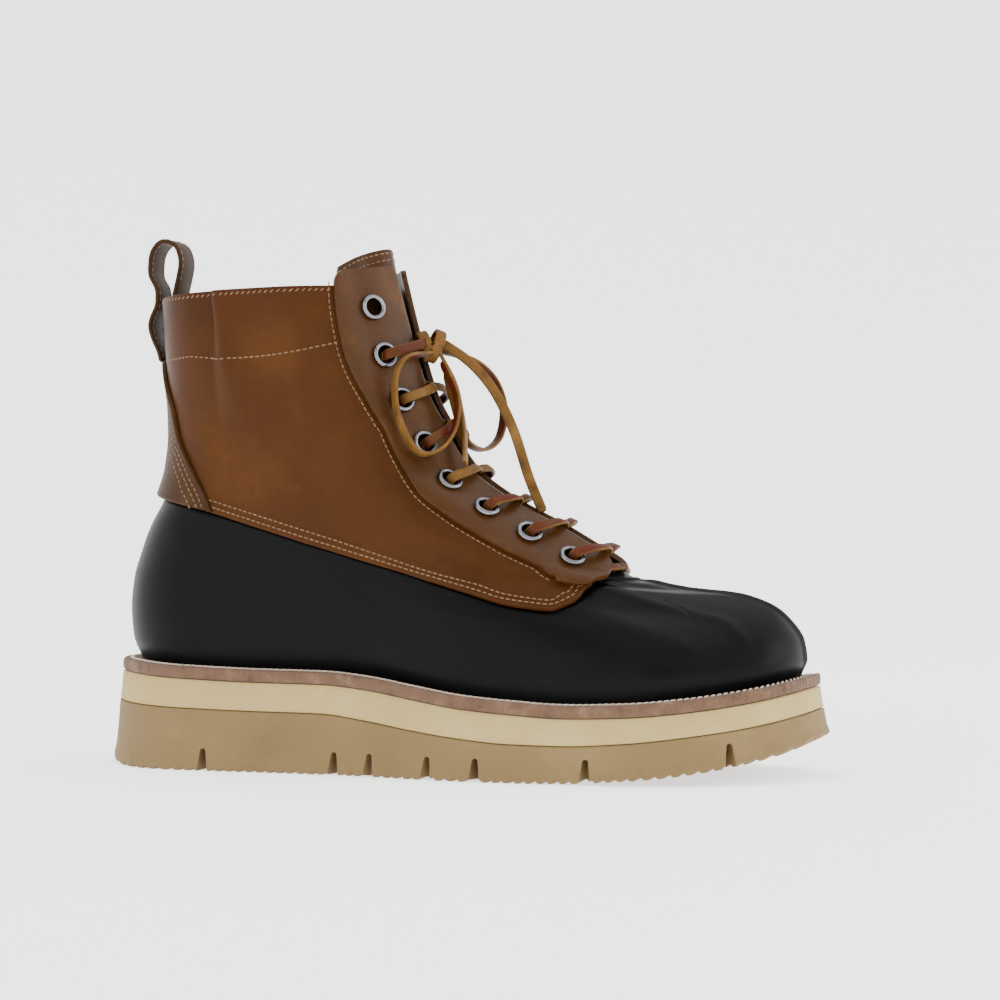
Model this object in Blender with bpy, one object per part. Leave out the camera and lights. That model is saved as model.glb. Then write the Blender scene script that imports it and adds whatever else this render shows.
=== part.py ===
"""Duck boot for the wearer's right foot, standing empty on its sole.

+X points to the toe, +Y to the medial (inner) side, +Z up, and the floor is z = 0. The upper is one surface,
a stack of closed rings hinged between the heel and the front line of the boot. Every piece of the upper is
cut between two lifts of that surface.
"""
import math
from functools import lru_cache

import bmesh
import bpy
import numpy as np
from mathutils import Vector

# Driving sizes, in metres
LAST_LENGTH = 0.2865
BALL_WIDTH = 0.094
HEEL_WIDTH = 0.074
INSTEP_HEIGHT = 0.097
SHAFT_RISE = 0.058
TOE_INWARD = 0.006
SWING_START_SHARE = 0.43

SOLE_OVERHANG = 0.0115
HEEL_STACK = 0.040
WELT_THICKNESS = 0.005
WELT_REACH = 0.008
WELT_LAP = 0.0060
SIDE_SLOPE = 0.0014
OUTSOLE_FLARE = 0.0026

NOTCH_HEIGHT = 0.0095
NOTCH_TOP_WIDTH = 0.0026
NOTCH_FOOT_WIDTH = 0.0056
NOTCH_DEPTH = 0.015

FIT_GAP = 0.0003
SHELL_WALL = 0.0025
LEATHER_WALL = 0.0020
SKIVE = 0.0007
SKIVE_MARGIN = 0.04
BACKSTAY_THICKNESS = 0.0014
EYESTAY_THICKNESS = 0.0022
TONGUE_THICKNESS = 0.0022
INSOLE_THICKNESS = 0.004
RIB_HEIGHT = 0.0012
SHELL_LAP = 0.009
RIM_STEP = 0.0011
EYESTAY_SEAM_SHARE = 0.36

# Lifts of the trim's inner face and of the eyestay's outer face from the last's surface
TRIM_LIFT = 2 * FIT_GAP + LEATHER_WALL
EYESTAY_TOP = TRIM_LIFT + EYESTAY_THICKNESS

EYELET_OUTER_RADIUS = 0.0055
EYELET_HOLE_RADIUS = 0.0035
EYELET_BARREL_RADIUS = 0.0040
EYELET_HEIGHT = 0.0012
EYELET_STANDOFF = 0.0010
EYELET_END_MARGIN = 0.017
EYELET_TOP_MARGIN = 0.0175
EYELETS_PER_SIDE = 8

LACE_WIDTH = 0.0042
LACE_THICKNESS = 0.0016
TWIST_SMOOTHING = 2
CORD_RADIUS = 0.0013
KNOT_RADIUS = 0.0034

PULL_LOOP_WIDTH = 0.015
PULL_LOOP_THICKNESS = 0.0018

# Counts of faces
RING_STEPS = 28
END_CROWDING = 0.5
SHELL_ROWS = 8
SHAFT_ROWS = 13
SHAFT_STEPS = 16
RING_SAMPLES = 90
BACKSTAY_ROWS = 8
BACKSTAY_STEPS = 6
EYESTAY_ROWS = 16
EYESTAY_STEPS = 5
EYELET_SIDES = 12
TONGUE_ROWS = 11
TONGUE_STEPS = 9
PULL_LOOP_STEPS = 28

# Upper sections, a row for each ring from the feather edge to above the collar. heel_x and front_x are shares of
# LAST_LENGTH from the heel. heel_rise and front_rise count INSTEP_HEIGHT as 0 to 1 and SHAFT_RISE as 1 to 2. sag is
# the share of the sole's dip that the ring follows. heel is a share of HEEL_WIDTH, and the other half widths are
# shares of BALL_WIDTH, _out on the lateral side and _in on the medial one. tip is measured just behind the front.
SECTION_COLUMNS = ("heel_x", "heel_rise", "front_x", "front_rise", "sag", "heel",
                   "waist_out", "waist_in", "mid_out", "mid_in", "fore_out", "fore_in", "tip")
SECTIONS = (
    (0.000, 0.000, 1.000, -0.005, 1.00, 0.453, 0.367, 0.314, 0.479, 0.404, 0.495, 0.457, 0.295),
    (-0.013, 0.103, 1.008, 0.057, 0.85, 0.486, 0.394, 0.340, 0.500, 0.441, 0.511, 0.479, 0.300),
    (-0.016, 0.227, 1.004, 0.134, 0.65, 0.500, 0.410, 0.367, 0.489, 0.452, 0.468, 0.457, 0.255),
    (-0.012, 0.351, 0.988, 0.201, 0.40, 0.493, 0.410, 0.378, 0.463, 0.441, 0.394, 0.399, 0.207),
    (0.000, 0.474, 0.962, 0.258, 0.20, 0.473, 0.404, 0.383, 0.415, 0.415, 0.303, 0.309, 0.144),
    (0.014, 0.588, 0.911, 0.299, 0.05, 0.457, 0.399, 0.388, 0.388, 0.388, 0.266, 0.277, 0.090),
    (0.036, 0.711, 0.852, 0.312, 0.00, 0.436, 0.394, 0.388, 0.383, 0.383, 0.290, 0.298, 0.100),
    (0.051, 0.856, 0.792, 0.345, 0.00, 0.423, 0.388, 0.388, 0.378, 0.378, 0.305, 0.314, 0.138),
    (0.056, 1.000, 0.730, 0.420, 0.00, 0.423, 0.383, 0.383, 0.378, 0.378, 0.300, 0.303, 0.155),
    (0.055, 1.190, 0.652, 0.550, 0.00, 0.430, 0.383, 0.383, 0.378, 0.378, 0.284, 0.287, 0.155),
    (0.051, 1.379, 0.573, 0.673, 0.00, 0.439, 0.388, 0.388, 0.383, 0.383, 0.314, 0.314, 0.165),
    (0.047, 1.586, 0.505, 0.831, 0.00, 0.450, 0.394, 0.394, 0.388, 0.388, 0.324, 0.324, 0.202),
    (0.044, 1.793, 0.452, 1.164, 0.00, 0.462, 0.404, 0.404, 0.399, 0.399, 0.330, 0.330, 0.223),
    (0.042, 1.985, 0.399, 2.035, 0.00, 0.473, 0.415, 0.415, 0.420, 0.420, 0.335, 0.335, 0.234),
    (0.040, 2.397, 0.382, 2.397, 0.00, 0.480, 0.420, 0.420, 0.426, 0.426, 0.335, 0.335, 0.234),
)
COLLAR_LEVEL = 13.0
THROAT_LEVEL = 8.4
RIM_STEP_LEVELS = 0.15
TIP_MARGIN = 0.02
THROAT_STEP_LEVELS = 0.9
STATION_SHARES = {"waist": 0.35, "mid": 0.58, "fore": 0.80}
TIP_SETBACK = 0.012
RING_RISE = 1.5

# Sole side view, a row for each station. along is a share of the sole's length from its back, and the heights are
# shares of HEEL_STACK: ground is the underside, tread the top of the outsole, top the top of the midsole's rim.
SOLE_COLUMNS = ("along", "ground", "tread", "top")
SOLE_PROFILE = (
    (0.000, 0.062, 0.700, 1.008),
    (0.060, 0.000, 0.670, 0.985),
    (0.140, 0.000, 0.645, 0.950),
    (0.250, 0.000, 0.625, 0.923),
    (0.345, 0.000, 0.618, 0.915),
    (0.410, 0.000, 0.563, 0.875),
    (0.480, 0.000, 0.485, 0.795),
    (0.550, 0.000, 0.420, 0.715),
    (0.620, 0.000, 0.378, 0.670),
    (0.690, 0.008, 0.373, 0.643),
    (0.770, 0.045, 0.408, 0.663),
    (0.845, 0.105, 0.473, 0.715),
    (0.920, 0.210, 0.558, 0.800),
    (0.970, 0.320, 0.645, 0.888),
    (1.000, 0.438, 0.713, 0.958),
)

# Centres of the side notches, as shares of the sole's length
NOTCHES = (0.180, 0.371, 0.429, 0.512, 0.575, 0.722, 0.884)

# Lower edge of the leather in side view, from the front tip to the heel: x as a share of LAST_LENGTH from the
# heel, rise as in the sections
LEATHER_EDGE = (
    (0.718, 0.345),
    (0.699, 0.258),
    (0.667, 0.230),
    (0.611, 0.252),
    (0.563, 0.292),
    (0.489, 0.355),
    (0.441, 0.398),
    (0.339, 0.483),
    (0.251, 0.558),
    (0.159, 0.634),
    (0.117, 0.668),
    (0.036, 0.711),
)

# Eyestay, a row for each place from its lower end to its top. front_level is a ring, front_girth the distance of
# its front edge from the centre line in metres, rear_x and rear_rise its rear edge in side view.
EYESTAY = (
    (8.10, 0.0045, 0.697, 0.308),
    (8.60, 0.0045, 0.640, 0.402),
    (9.50, 0.0045, 0.563, 0.516),
    (10.40, 0.0045, 0.494, 0.645),
    (11.30, 0.0045, 0.436, 0.832),
    (12.00, 0.0045, 0.383, 1.195),
    (12.50, 0.0045, 0.352, 1.550),
    (13.00, 0.0050, 0.336, 1.950),
    (13.35, 0.0055, 0.333, 2.130),
)

# Front edge of the backstay in side view, from its top to the leather's lower edge
BACKSTAY_EDGE = (
    (0.0560, 1.520),
    (0.0660, 1.380),
    (0.0840, 1.190),
    (0.1000, 0.958),
    (0.1190, 0.855),
    (0.1370, 0.762),
    (0.1560, 0.640),
)

# Tongue, a row for each place from its root under the shell to its top. level is a ring, half_width a length in
# metres round the boot, lift how far its middle stands out of the upper's surface.
TONGUE = (
    (7.80, 0.016, -0.0030),
    (8.60, 0.020, -0.0028),
    (9.50, 0.024, -0.0012),
    (10.50, 0.026, -0.0006),
    (11.50, 0.028, -0.0002),
    (12.30, 0.030, 0.0002),
    (13.00, 0.030, 0.0012),
    (13.80, 0.027, 0.0018),
)
TONGUE_SIDE_LIFT = -0.0030
TONGUE_CORNER_LEVELS = 0.40
TONGUE_BULGE_SHARE = 0.526

# Pull loop in its own path: a level and a bulge for each place of the outer leg, forward of the back seam and rise
# above the collar for each place of the arch, a level for each place of the inner leg
PULL_LOOP_OUTSIDE = (
    (10.75, 0.0000),
    (11.10, 0.0006),
    (11.60, 0.0030),
    (12.10, 0.0042),
    (12.60, 0.0022),
    (12.90, 0.0002),
)
PULL_LOOP_ARCH = (
    (-0.0053, 0.0045),
    (-0.0089, 0.0120),
    (-0.0083, 0.0200),
    (-0.0026, 0.0262),
    (0.0034, 0.0238),
    (0.0057, 0.0165),
    (0.0043, 0.0090),
)
PULL_LOOP_INSIDE = (12.95, 12.50, 12.00)
PULL_LOOP_INSIDE_GAP = 0.0014

# A crossing of the lace from one eyelet to the next: share of the way, lift as a share of the lift over an eyelet,
# and a lift added to that
LACE_CROSSING = (
    (0.12, 1.00, 0.0000),
    (0.25, 1.00, 0.0000),
    (0.37, 0.90, 0.0000),
    (0.44, 0.68, 0.0000),
    (0.50, 0.00, 0.0027),
    (0.55, 0.00, 0.0016),
    (0.60, 0.00, 0.0003),
    (0.74, 0.00, 0.0001),
    (0.88, 0.00, 0.0004),
)
LACE_WEAVE = 0.0004
LACE_UNDER_LIFT = 0.0004
LACE_BAR_LIFT = 0.0007
# The lace's bar between the lowest eyelets, as a share of the way to the eyelet and a lift added to the bar's, and
# its last run from the top eyelet in use to the knot, as a share of the way back and a share of the lift
LACE_BAR = ((0.30, 0.0004), (0.75, 0.0))
LACE_BAR_OVERLAPS = {1: -0.08, -1: -0.05}
LACE_BAR_OVERLAP_LIFT = 0.0008
LACE_TO_KNOT = ((0.97, 0.86), (0.80, 1.00), (0.55, 1.00), (0.33, 1.04), (0.145, 1.06))
LACE_RISE_SHARE = 0.86

# Ribs moulded in the vamp, from the throat to the toe: shares of the half girth from the ridge at each ring
RIDGE_HALF_SHARE = 0.012
RIDGE_TOP_LEVEL = 7.4
RIBS = (
    ((8.0, 0.030), (7.0, 0.052), (6.0, 0.070), (5.0, 0.092), (4.4, 0.112)),
    ((7.6, 0.100), (6.6, 0.128), (5.4, 0.168), (4.2, 0.215), (3.2, 0.255)),
)

# Free cords of the bow, as places chosen by hand in metres from the knot: forward, to the medial side, up
KNOT_PLACE = (0.0090, 0.0, 0.0)
KNOT_LEVEL = 12.52
KNOT_ROUTE = ((0.0, 0.0, -0.0042), (0.0006, 0.0, 0.0), (0.0, 0.0, 0.0042))
KNOT_POINTS = 4
BOW_ROUTES = {
    "lace_loop_left": ((0.0018, -0.0040, -0.0034), (-0.0024, -0.0268, -0.0062), (-0.0068, -0.0266, -0.0136),
                       (-0.0060, -0.0285, -0.0250), (-0.0018, -0.0292, -0.0370), (0.0056, -0.0268, -0.0470),
                       (0.0116, -0.0204, -0.0440), (0.0158, -0.0140, -0.0340), (0.0153, -0.0090, -0.0240),
                       (0.0112, -0.0062, -0.0150), (0.0065, -0.0042, -0.0070)),
    "lace_loop_right": ((0.0032, 0.0022, -0.0020), (0.0138, 0.0128, -0.0050), (0.0212, 0.0262, -0.0150),
                        (0.0230, 0.0320, -0.0270), (0.0214, 0.0306, -0.0380), (0.0176, 0.0184, -0.0440),
                        (0.0152, 0.0006, -0.0400), (0.0116, -0.0014, -0.0260), (0.0062, 0.0030, -0.0110)),
    "lace_end_left": ((0.0048, -0.0010, -0.0036), (0.0122, -0.0022, -0.0170), (0.0156, -0.0040, -0.0300),
                      (0.0211, -0.0174, -0.0500)),
    "lace_end_right": ((0.0046, 0.0009, 0.0015), (0.0150, 0.0050, -0.0060), (0.0250, 0.0085, -0.0180),
                       (0.0336, 0.0098, -0.0350), (0.0416, 0.0080, -0.0570), (0.0486, 0.0031, -0.0700)),
}
BOW_POINTS = {"lace_loop_left": 18, "lace_loop_right": 18, "lace_end_left": 9, "lace_end_right": 13}


def pchip(xs, ys, x):
    """Monotone cubic through the rows (xs, ys), read at x; ys may hold several columns."""
    xs = np.asarray(xs, float)
    ys = np.asarray(ys, float)
    flat = ys.ndim == 1
    if flat:
        ys = ys[:, None]
    steps = np.diff(xs)[:, None]
    slopes = np.diff(ys, axis=0) / steps
    tangents = np.zeros_like(ys)
    before, after = slopes[:-1], slopes[1:]
    same = before * after > 0
    w1 = 2 * steps[1:] + steps[:-1]
    w2 = steps[1:] + 2 * steps[:-1]
    safe_before = np.where(same, before, 1.0)
    safe_after = np.where(same, after, 1.0)
    tangents[1:-1] = np.where(same, (w1 + w2) / (w1 / safe_before + w2 / safe_after), 0.0)
    tangents[0] = slopes[0]
    tangents[-1] = slopes[-1]
    x = np.atleast_1d(np.asarray(x, float))
    at = np.clip(np.searchsorted(xs, x, side="right") - 1, 0, len(xs) - 2)
    h = steps[at]
    t = (np.clip(x, xs[0], xs[-1])[:, None] - xs[at][:, None]) / h
    value = ((2 * t**3 - 3 * t**2 + 1) * ys[at] + (t**3 - 2 * t**2 + t) * h * tangents[at]
             + (-2 * t**3 + 3 * t**2) * ys[at + 1] + (t**3 - t**2) * h * tangents[at + 1])
    return value[:, 0] if flat else value


def height(rise):
    """Height above the feather edge at the heel for a rise share."""
    rise = np.asarray(rise, float)
    return INSTEP_HEIGHT * np.minimum(rise, 1.0) + SHAFT_RISE * np.maximum(rise - 1.0, 0.0)


SOLE_LENGTH = LAST_LENGTH + 2 * SOLE_OVERHANG
SOLE_TABLE = np.array(SOLE_PROFILE)


def sole_height(column, x):
    """Height of a sole layer at x, which counts from the heel of the last."""
    shares = (np.atleast_1d(x) + SOLE_OVERHANG) / SOLE_LENGTH
    return HEEL_STACK * pchip(SOLE_TABLE[:, 0], SOLE_TABLE[:, SOLE_COLUMNS.index(column)], shares)


def welt_top(x):
    """Top of the welt at x."""
    return sole_height("top", x) + FIT_GAP + WELT_THICKNESS


FEATHER_BASE = float(welt_top(0.0)[0]) + FIT_GAP


@lru_cache(maxsize=None)
def section(level):
    """The section at a ring level, as a dictionary of the table's columns."""
    values = pchip(range(len(SECTIONS)), SECTIONS, level)[0]
    return dict(zip(SECTION_COLUMNS, values))


def half_width_squared(row, side, distance, length):
    """Squared half width of a ring at a distance from its heel; side is out or in."""
    heel = row["heel"] * HEEL_WIDTH
    stations = [(heel, heel)]
    for name, share in STATION_SHARES.items():
        stations.append((share * length, row[f"{name}_{side}"] * BALL_WIDTH))
    stations.append((length - TIP_SETBACK, row["tip"] * BALL_WIDTH))
    places = [place for place, _ in stations] + [length]
    squares = [half**2 for _, half in stations] + [0.0]
    body = pchip(places, squares, np.maximum(distance, heel))
    cap = np.maximum(2 * heel * distance - distance**2, 0.0)
    return np.where(distance < heel, cap, body)


def inward(x):
    """How far the middle of the foot swings to the medial side at x."""
    return TOE_INWARD * np.maximum(0.0, (x / LAST_LENGTH - SWING_START_SHARE) / (1 - SWING_START_SHARE))**2


@lru_cache(maxsize=None)
def ring(level, side):
    """Dense half ring from the front point to the heel point, with the share of its girth at each sample."""
    row = section(level)
    heel_x, front_x = row["heel_x"] * LAST_LENGTH, row["front_x"] * LAST_LENGTH
    length = front_x - heel_x
    along = (1 + np.cos(np.linspace(0.0, math.pi, RING_SAMPLES))) / 2
    x = heel_x + length * along
    half = np.sqrt(np.maximum(half_width_squared(row, side, along * length, length), 0.0))
    front_z, heel_z = height(row["front_rise"]), height(row["heel_rise"])
    level_z = front_z + (heel_z - front_z) * (1 - along)**RING_RISE
    dip = welt_top(x) + FIT_GAP - FEATHER_BASE
    z = FEATHER_BASE + level_z * (1 - row["sag"]) + (dip + level_z) * row["sag"]
    if level == 0.0:
        z = FEATHER_BASE + dip
    y = inward(x) + (half if side == "in" else -half)
    points = np.stack([x, y, z], axis=1)
    girth = np.concatenate([[0.0], np.cumsum(np.linalg.norm(np.diff(points, axis=0), axis=1))])
    return points, girth


def surface(level, turn):
    """Point on the upper's surface. turn is 0 at the front, 1 at the heel by the lateral side, -1 by the medial."""
    turn = (turn + 1.0) % 2.0 - 1.0
    side = "out" if turn >= 0 else "in"
    points, girth = ring(round(float(level), 5), side)
    at = abs(turn) * girth[-1]
    return np.array([np.interp(at, girth, points[:, axis]) for axis in range(3)])


def normal(level, turn):
    """Outward unit normal of the upper's surface."""
    low, high = max(level - 0.06, 0.0), min(level + 0.06, len(SECTIONS) - 1.0)
    up = surface(high, turn) - surface(low, turn)
    round_boot = surface(level, turn + 0.012) - surface(level, turn - 0.012)
    out = np.cross(up, round_boot)
    return out / np.linalg.norm(out)


def lifted(level, turn, lift):
    """Point at a lift from the upper's surface."""
    return surface(level, turn) + lift * normal(level, turn)


def half_girth(level):
    """Length of the lateral half of a ring."""
    return ring(round(float(level), 5), "out")[1][-1]


def locate(x_share, rise):
    """Ring level and turn of a place that is given in side view on the lateral side."""
    x = x_share * LAST_LENGTH
    z = FEATHER_BASE + float(height(rise))
    low, high = 0.0, len(SECTIONS) - 1.0
    for _ in range(30):
        level = (low + high) / 2
        points, girth = ring(round(level, 5), "out")
        order = slice(None, None, -1)
        found = np.interp(x, points[order, 0], points[order, 2])
        low, high = (level, high) if found < z else (low, level)
    at = np.interp(x, points[::-1, 0], girth[::-1])
    return level, at / girth[-1]


def smooth_path(rows, count):
    """Resample rows of numbers on a smooth curve at evenly spaced steps."""
    rows = np.asarray(rows, float)
    return pchip(np.linspace(0.0, 1.0, len(rows)), rows, np.linspace(0.0, 1.0, count))


def spaced(places, count):
    """Resample (level, turn) places at even distances on the surface."""
    fine = smooth_path(places, 8 * len(places))
    points = np.array([surface(level, turn) for level, turn in fine])
    length = np.concatenate([[0.0], np.cumsum(np.linalg.norm(np.diff(points, axis=0), axis=1))])
    wanted = np.linspace(0.0, length[-1], count)
    return np.stack([np.interp(wanted, length, fine[:, axis]) for axis in range(2)], axis=1)


def coons(bottom, top, front, back):
    """Grid of (level, turn) places between four edges: rows from bottom to top, columns from front to back."""
    rows, columns = len(front), len(bottom)
    b = np.linspace(0.0, 1.0, rows)[:, None, None]
    a = np.linspace(0.0, 1.0, columns)[None, :, None]
    edges = (1 - b) * bottom[None] + b * top[None] + (1 - a) * front[:, None] + a * back[:, None]
    corners = ((1 - b) * ((1 - a) * bottom[0] + a * bottom[-1]) + b * ((1 - a) * top[0] + a * top[-1]))
    return edges - corners


def end_spacing(steps):
    """Shares from 0 to 1, closer together at the toe and the heel."""
    even = np.linspace(0.0, 1.0, steps + 1)
    return END_CROWDING * (1 - np.cos(math.pi * even)) / 2 + (1 - END_CROWDING) * even


# The frame's origin lies under the middle of the sole, so every mesh is shifted from the last's own zero
def sole_outline(reach):
    """Plan outline of the feather edge moved outwards: (lateral, medial) rows from toe to heel."""
    sides = []
    for side in ("out", "in"):
        points, girth = ring(0.0, side)
        shares = end_spacing(RING_STEPS)
        plan = np.stack([np.interp(shares * girth[-1], girth, points[:, axis]) for axis in range(2)], axis=1)
        sign = 1.0 if side == "in" else -1.0
        moved = []
        for step, place in enumerate(plan):
            if step in (0, RING_STEPS):
                out = np.array([1.0 if step == 0 else -1.0, 0.0])
            else:
                run = plan[step - 1] - plan[step + 1]
                out = np.array([-run[1], run[0]]) * sign / np.linalg.norm(run)
            moved.append(place + reach * out)
        sides.append(np.array(moved))
    return sides


GROUND_REACH = WELT_REACH + SIDE_SLOPE + OUTSOLE_FLARE
OUTLINE = np.concatenate(sole_outline(GROUND_REACH))
ORIGIN = np.array([*((OUTLINE.min(axis=0) + OUTLINE.max(axis=0)) / 2), 0.0])

FINISHES = {
    "outsole": ((0.36, 0.27, 0.15), 0.0, 0.75),
    "midsole": ((0.62, 0.52, 0.36), 0.0, 0.70),
    "welt": ((0.38, 0.24, 0.17), 0.0, 0.90),
    "insole": ((0.30, 0.20, 0.12), 0.0, 0.85),
    "rubber_shell": ((0.018, 0.019, 0.022), 0.0, 0.62),
    "leather_shaft": ((0.19, 0.072, 0.020), 0.0, 0.42),
    "leather_trim": ((0.20, 0.085, 0.030), 0.0, 0.38),
    "eyelets": ((0.60, 0.60, 0.62), 1.0, 0.30),
    "laces": ((0.33, 0.17, 0.07), 0.0, 0.55),
}


def finish(name):
    """The finish's material, made once."""
    material = bpy.data.materials.get(name)
    if material is None:
        colour, metallic, roughness = FINISHES[name]
        material = bpy.data.materials.new(name)
        material.use_nodes = True
        shader = material.node_tree.nodes["Principled BSDF"]
        shader.inputs["Base Color"].default_value = (*colour, 1.0)
        shader.inputs["Metallic"].default_value = metallic
        shader.inputs["Roughness"].default_value = roughness
    return material


def add_object(name, points, faces, material):
    """Make a closed mesh object from points of the last's frame."""
    mesh = bpy.data.meshes.new(name)
    mesh.from_pydata([Vector(point) for point in np.asarray(points) - ORIGIN], [], faces)
    body = bmesh.new()
    body.from_mesh(mesh)
    bmesh.ops.recalc_face_normals(body, faces=body.faces)
    quads = [face for face in body.faces if len(face.verts) == 4]
    bmesh.ops.triangulate(body, faces=quads, quad_method="SHORT_EDGE")
    body.to_mesh(mesh)
    body.free()
    mesh.shade_smooth()
    mesh.set_sharp_from_angle(angle=math.radians(40))
    mesh.materials.append(finish(material))
    piece = bpy.data.objects.new(name, mesh)
    bpy.context.collection.objects.link(piece)
    return piece


def wall(name, outer, inner, material, closed=False):
    """A wall between two grids of points of the same shape. closed joins the last column to the first."""
    outer, inner = np.asarray(outer), np.asarray(inner)
    rows, columns = outer.shape[:2]
    points = np.concatenate([outer.reshape(-1, 3), inner.reshape(-1, 3)])
    inside = rows * columns
    spans = columns if closed else columns - 1
    faces = []
    for row in range(rows - 1):
        for column in range(spans):
            a, b = row * columns + column, row * columns + (column + 1) % columns
            c, d = b + columns, a + columns
            faces.append((a, b, c, d))
            faces.append((inside + d, inside + c, inside + b, inside + a))
    for row in (0, rows - 1):
        for column in range(spans):
            a, b = row * columns + column, row * columns + (column + 1) % columns
            faces.append((a, b, inside + b, inside + a))
    if not closed:
        for column in (0, columns - 1):
            for row in range(rows - 1):
                a, b = row * columns + column, (row + 1) * columns + column
                faces.append((a, b, inside + b, inside + a))
    return add_object(name, points, faces, material)


def layers(name, loops, material):
    """A solid from a stack of outlines, each (lateral, medial) rows of points; the ends are ladders of faces."""
    side = len(loops[0][0])
    count = 2 * side - 2
    points, faces = [], []
    for lateral, medial in loops:
        points.extend(lateral)
        points.extend(medial[1:-1][::-1])
    for loop in range(len(loops) - 1):
        for step in range(count):
            a, b = loop * count + step, loop * count + (step + 1) % count
            faces.append((a, b, b + count, a + count))
    for base in (0, (len(loops) - 1) * count):
        def medial_at(step, base=base):
            return base + (step if step in (0, side - 1) else count - step)
        for step in range(side - 1):
            corners = (base + step, base + step + 1, medial_at(step + 1), medial_at(step))
            faces.append(tuple(dict.fromkeys(corners)))
    return add_object(name, points, faces, material)


def outline_at(reach, heights):
    """Outline loop at a reach, with its height as a function of x."""
    sides = []
    for plan in sole_outline(reach):
        sides.append(np.column_stack([plan, heights(plan[:, 0])]))
    return sides


def frame_along(piece, place, out):
    """Turn an object so that its +X points along a plan direction at a place."""
    piece.location = Vector(place)
    piece.rotation_euler = (0.0, 0.0, math.atan2(out[1], out[0]))


def join_cutters(name, cutters):
    """Join cutters into one object that only guides a Boolean."""
    body = bmesh.new()
    bpy.context.view_layer.update()
    for cutter in cutters:
        piece = bmesh.new()
        piece.from_mesh(cutter.data)
        piece.transform(cutter.matrix_world)
        mesh = bpy.data.meshes.new("cutter")
        piece.to_mesh(mesh)
        piece.free()
        body.from_mesh(mesh)
        bpy.data.meshes.remove(mesh)
        bpy.data.objects.remove(cutter)
    mesh = bpy.data.meshes.new(name)
    body.to_mesh(mesh)
    body.free()
    joined = bpy.data.objects.new(name, mesh)
    bpy.context.collection.objects.link(joined)
    joined.hide_render = True
    joined.display_type = "WIRE"
    return joined


def cut(piece, cutter, operation="DIFFERENCE"):
    """Add a Boolean modifier."""
    change = piece.modifiers.new("cut", "BOOLEAN")
    change.operation = operation
    change.solver = "EXACT"
    change.object = cutter
    return change


def joined(piece, other):
    """Join another object to a piece by a union and drop the loose slivers that it leaves at tight folds."""
    change = cut(piece, other, "UNION")
    change.use_self = True
    whole = bpy.data.meshes.new_from_object(piece.evaluated_get(bpy.context.evaluated_depsgraph_get()))
    piece.modifiers.remove(change)
    body = bmesh.new()
    body.from_mesh(whole)
    left, islands = set(body.verts), []
    while left:
        island, to_visit = set(), [left.pop()]
        while to_visit:
            corner = to_visit.pop()
            island.add(corner)
            reached = {edge.other_vert(corner) for edge in corner.link_edges} & left
            left -= reached
            to_visit.extend(reached)
        islands.append(island)
    largest = max(islands, key=len)
    bmesh.ops.delete(body, geom=[corner for corner in body.verts if corner not in largest], context="VERTS")
    body.to_mesh(whole)
    body.free()
    piece.data = whole
    bpy.data.objects.remove(other)
    return piece


def notch_cutter(place, out):
    """Cutter of one notch: a slot that widens downwards and has a round top, open to the side of the sole."""
    half_top, half_foot = NOTCH_TOP_WIDTH / 2, NOTCH_FOOT_WIDTH / 2
    below = NOTCH_HEIGHT / 3
    shoulder = NOTCH_HEIGHT - half_top
    slope = (half_foot - half_top) / shoulder
    profile = [(-half_foot - slope * below, -below), (-half_top, shoulder)]
    profile += [(-half_top * math.cos(angle), shoulder + half_top * math.sin(angle))
                for angle in (math.pi / 4, math.pi / 2, 3 * math.pi / 4)]
    profile += [(half_top, shoulder), (half_foot + slope * below, -below)]
    count = len(profile)
    points = [(x, y, z) for x in (-NOTCH_DEPTH, NOTCH_DEPTH) for y, z in profile]
    faces = [tuple(range(count)), tuple(range(2 * count - 1, count - 1, -1))]
    faces += [(k, count + k, count + (k + 1) % count, (k + 1) % count) for k in range(count)]
    mesh = bpy.data.meshes.new("notch")
    mesh.from_pydata(points, [], faces)
    body = bmesh.new()
    body.from_mesh(mesh)
    bmesh.ops.recalc_face_normals(body, faces=body.faces)
    body.to_mesh(mesh)
    body.free()
    piece = bpy.data.objects.new("notch", mesh)
    bpy.context.collection.objects.link(piece)
    frame_along(piece, place, out)
    return piece


def build_outsole():
    """Outsole with its flare, toe spring and side notches."""
    def ground(x):
        return sole_height("ground", x)

    def tread(x):
        return sole_height("tread", x)

    foot = outline_at(GROUND_REACH, ground)
    waist = outline_at(WELT_REACH + SIDE_SLOPE + OUTSOLE_FLARE * 0.35, lambda x: (ground(x) + tread(x)) / 2)
    rim = outline_at(WELT_REACH + SIDE_SLOPE, tread)
    piece = layers("outsole", [foot, waist, rim], "outsole")
    cutters = []
    for plan in sole_outline(GROUND_REACH):
        runs = np.gradient(plan, axis=0)
        for share in NOTCHES:
            x = share * SOLE_LENGTH - SOLE_OVERHANG
            order = np.argsort(plan[:, 0])
            y = np.interp(x, plan[order, 0], plan[order, 1])
            run = [np.interp(x, plan[order, 0], runs[order, axis]) for axis in range(2)]
            out = np.array([-run[1], run[0]]) / np.linalg.norm(run)
            out = out if out[1] * y > 0 else -out
            place = np.array([x, y, float(ground(x)[0])]) - ORIGIN
            cutters.append(notch_cutter(place, out))
    cut(piece, join_cutters("notch_cutters", cutters))


def build_midsole():
    """Midsole: rim under the welt and a step that fills the inside of the welt."""
    def bottom(x):
        return sole_height("tread", x) + FIT_GAP

    def top(x):
        return sole_height("top", x)

    inside = -WELT_LAP - FIT_GAP
    layers("midsole", [
        outline_at(WELT_REACH + SIDE_SLOPE, bottom),
        outline_at(WELT_REACH, top),
        outline_at(inside, top),
        outline_at(inside, welt_top),
    ], "midsole")


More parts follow.
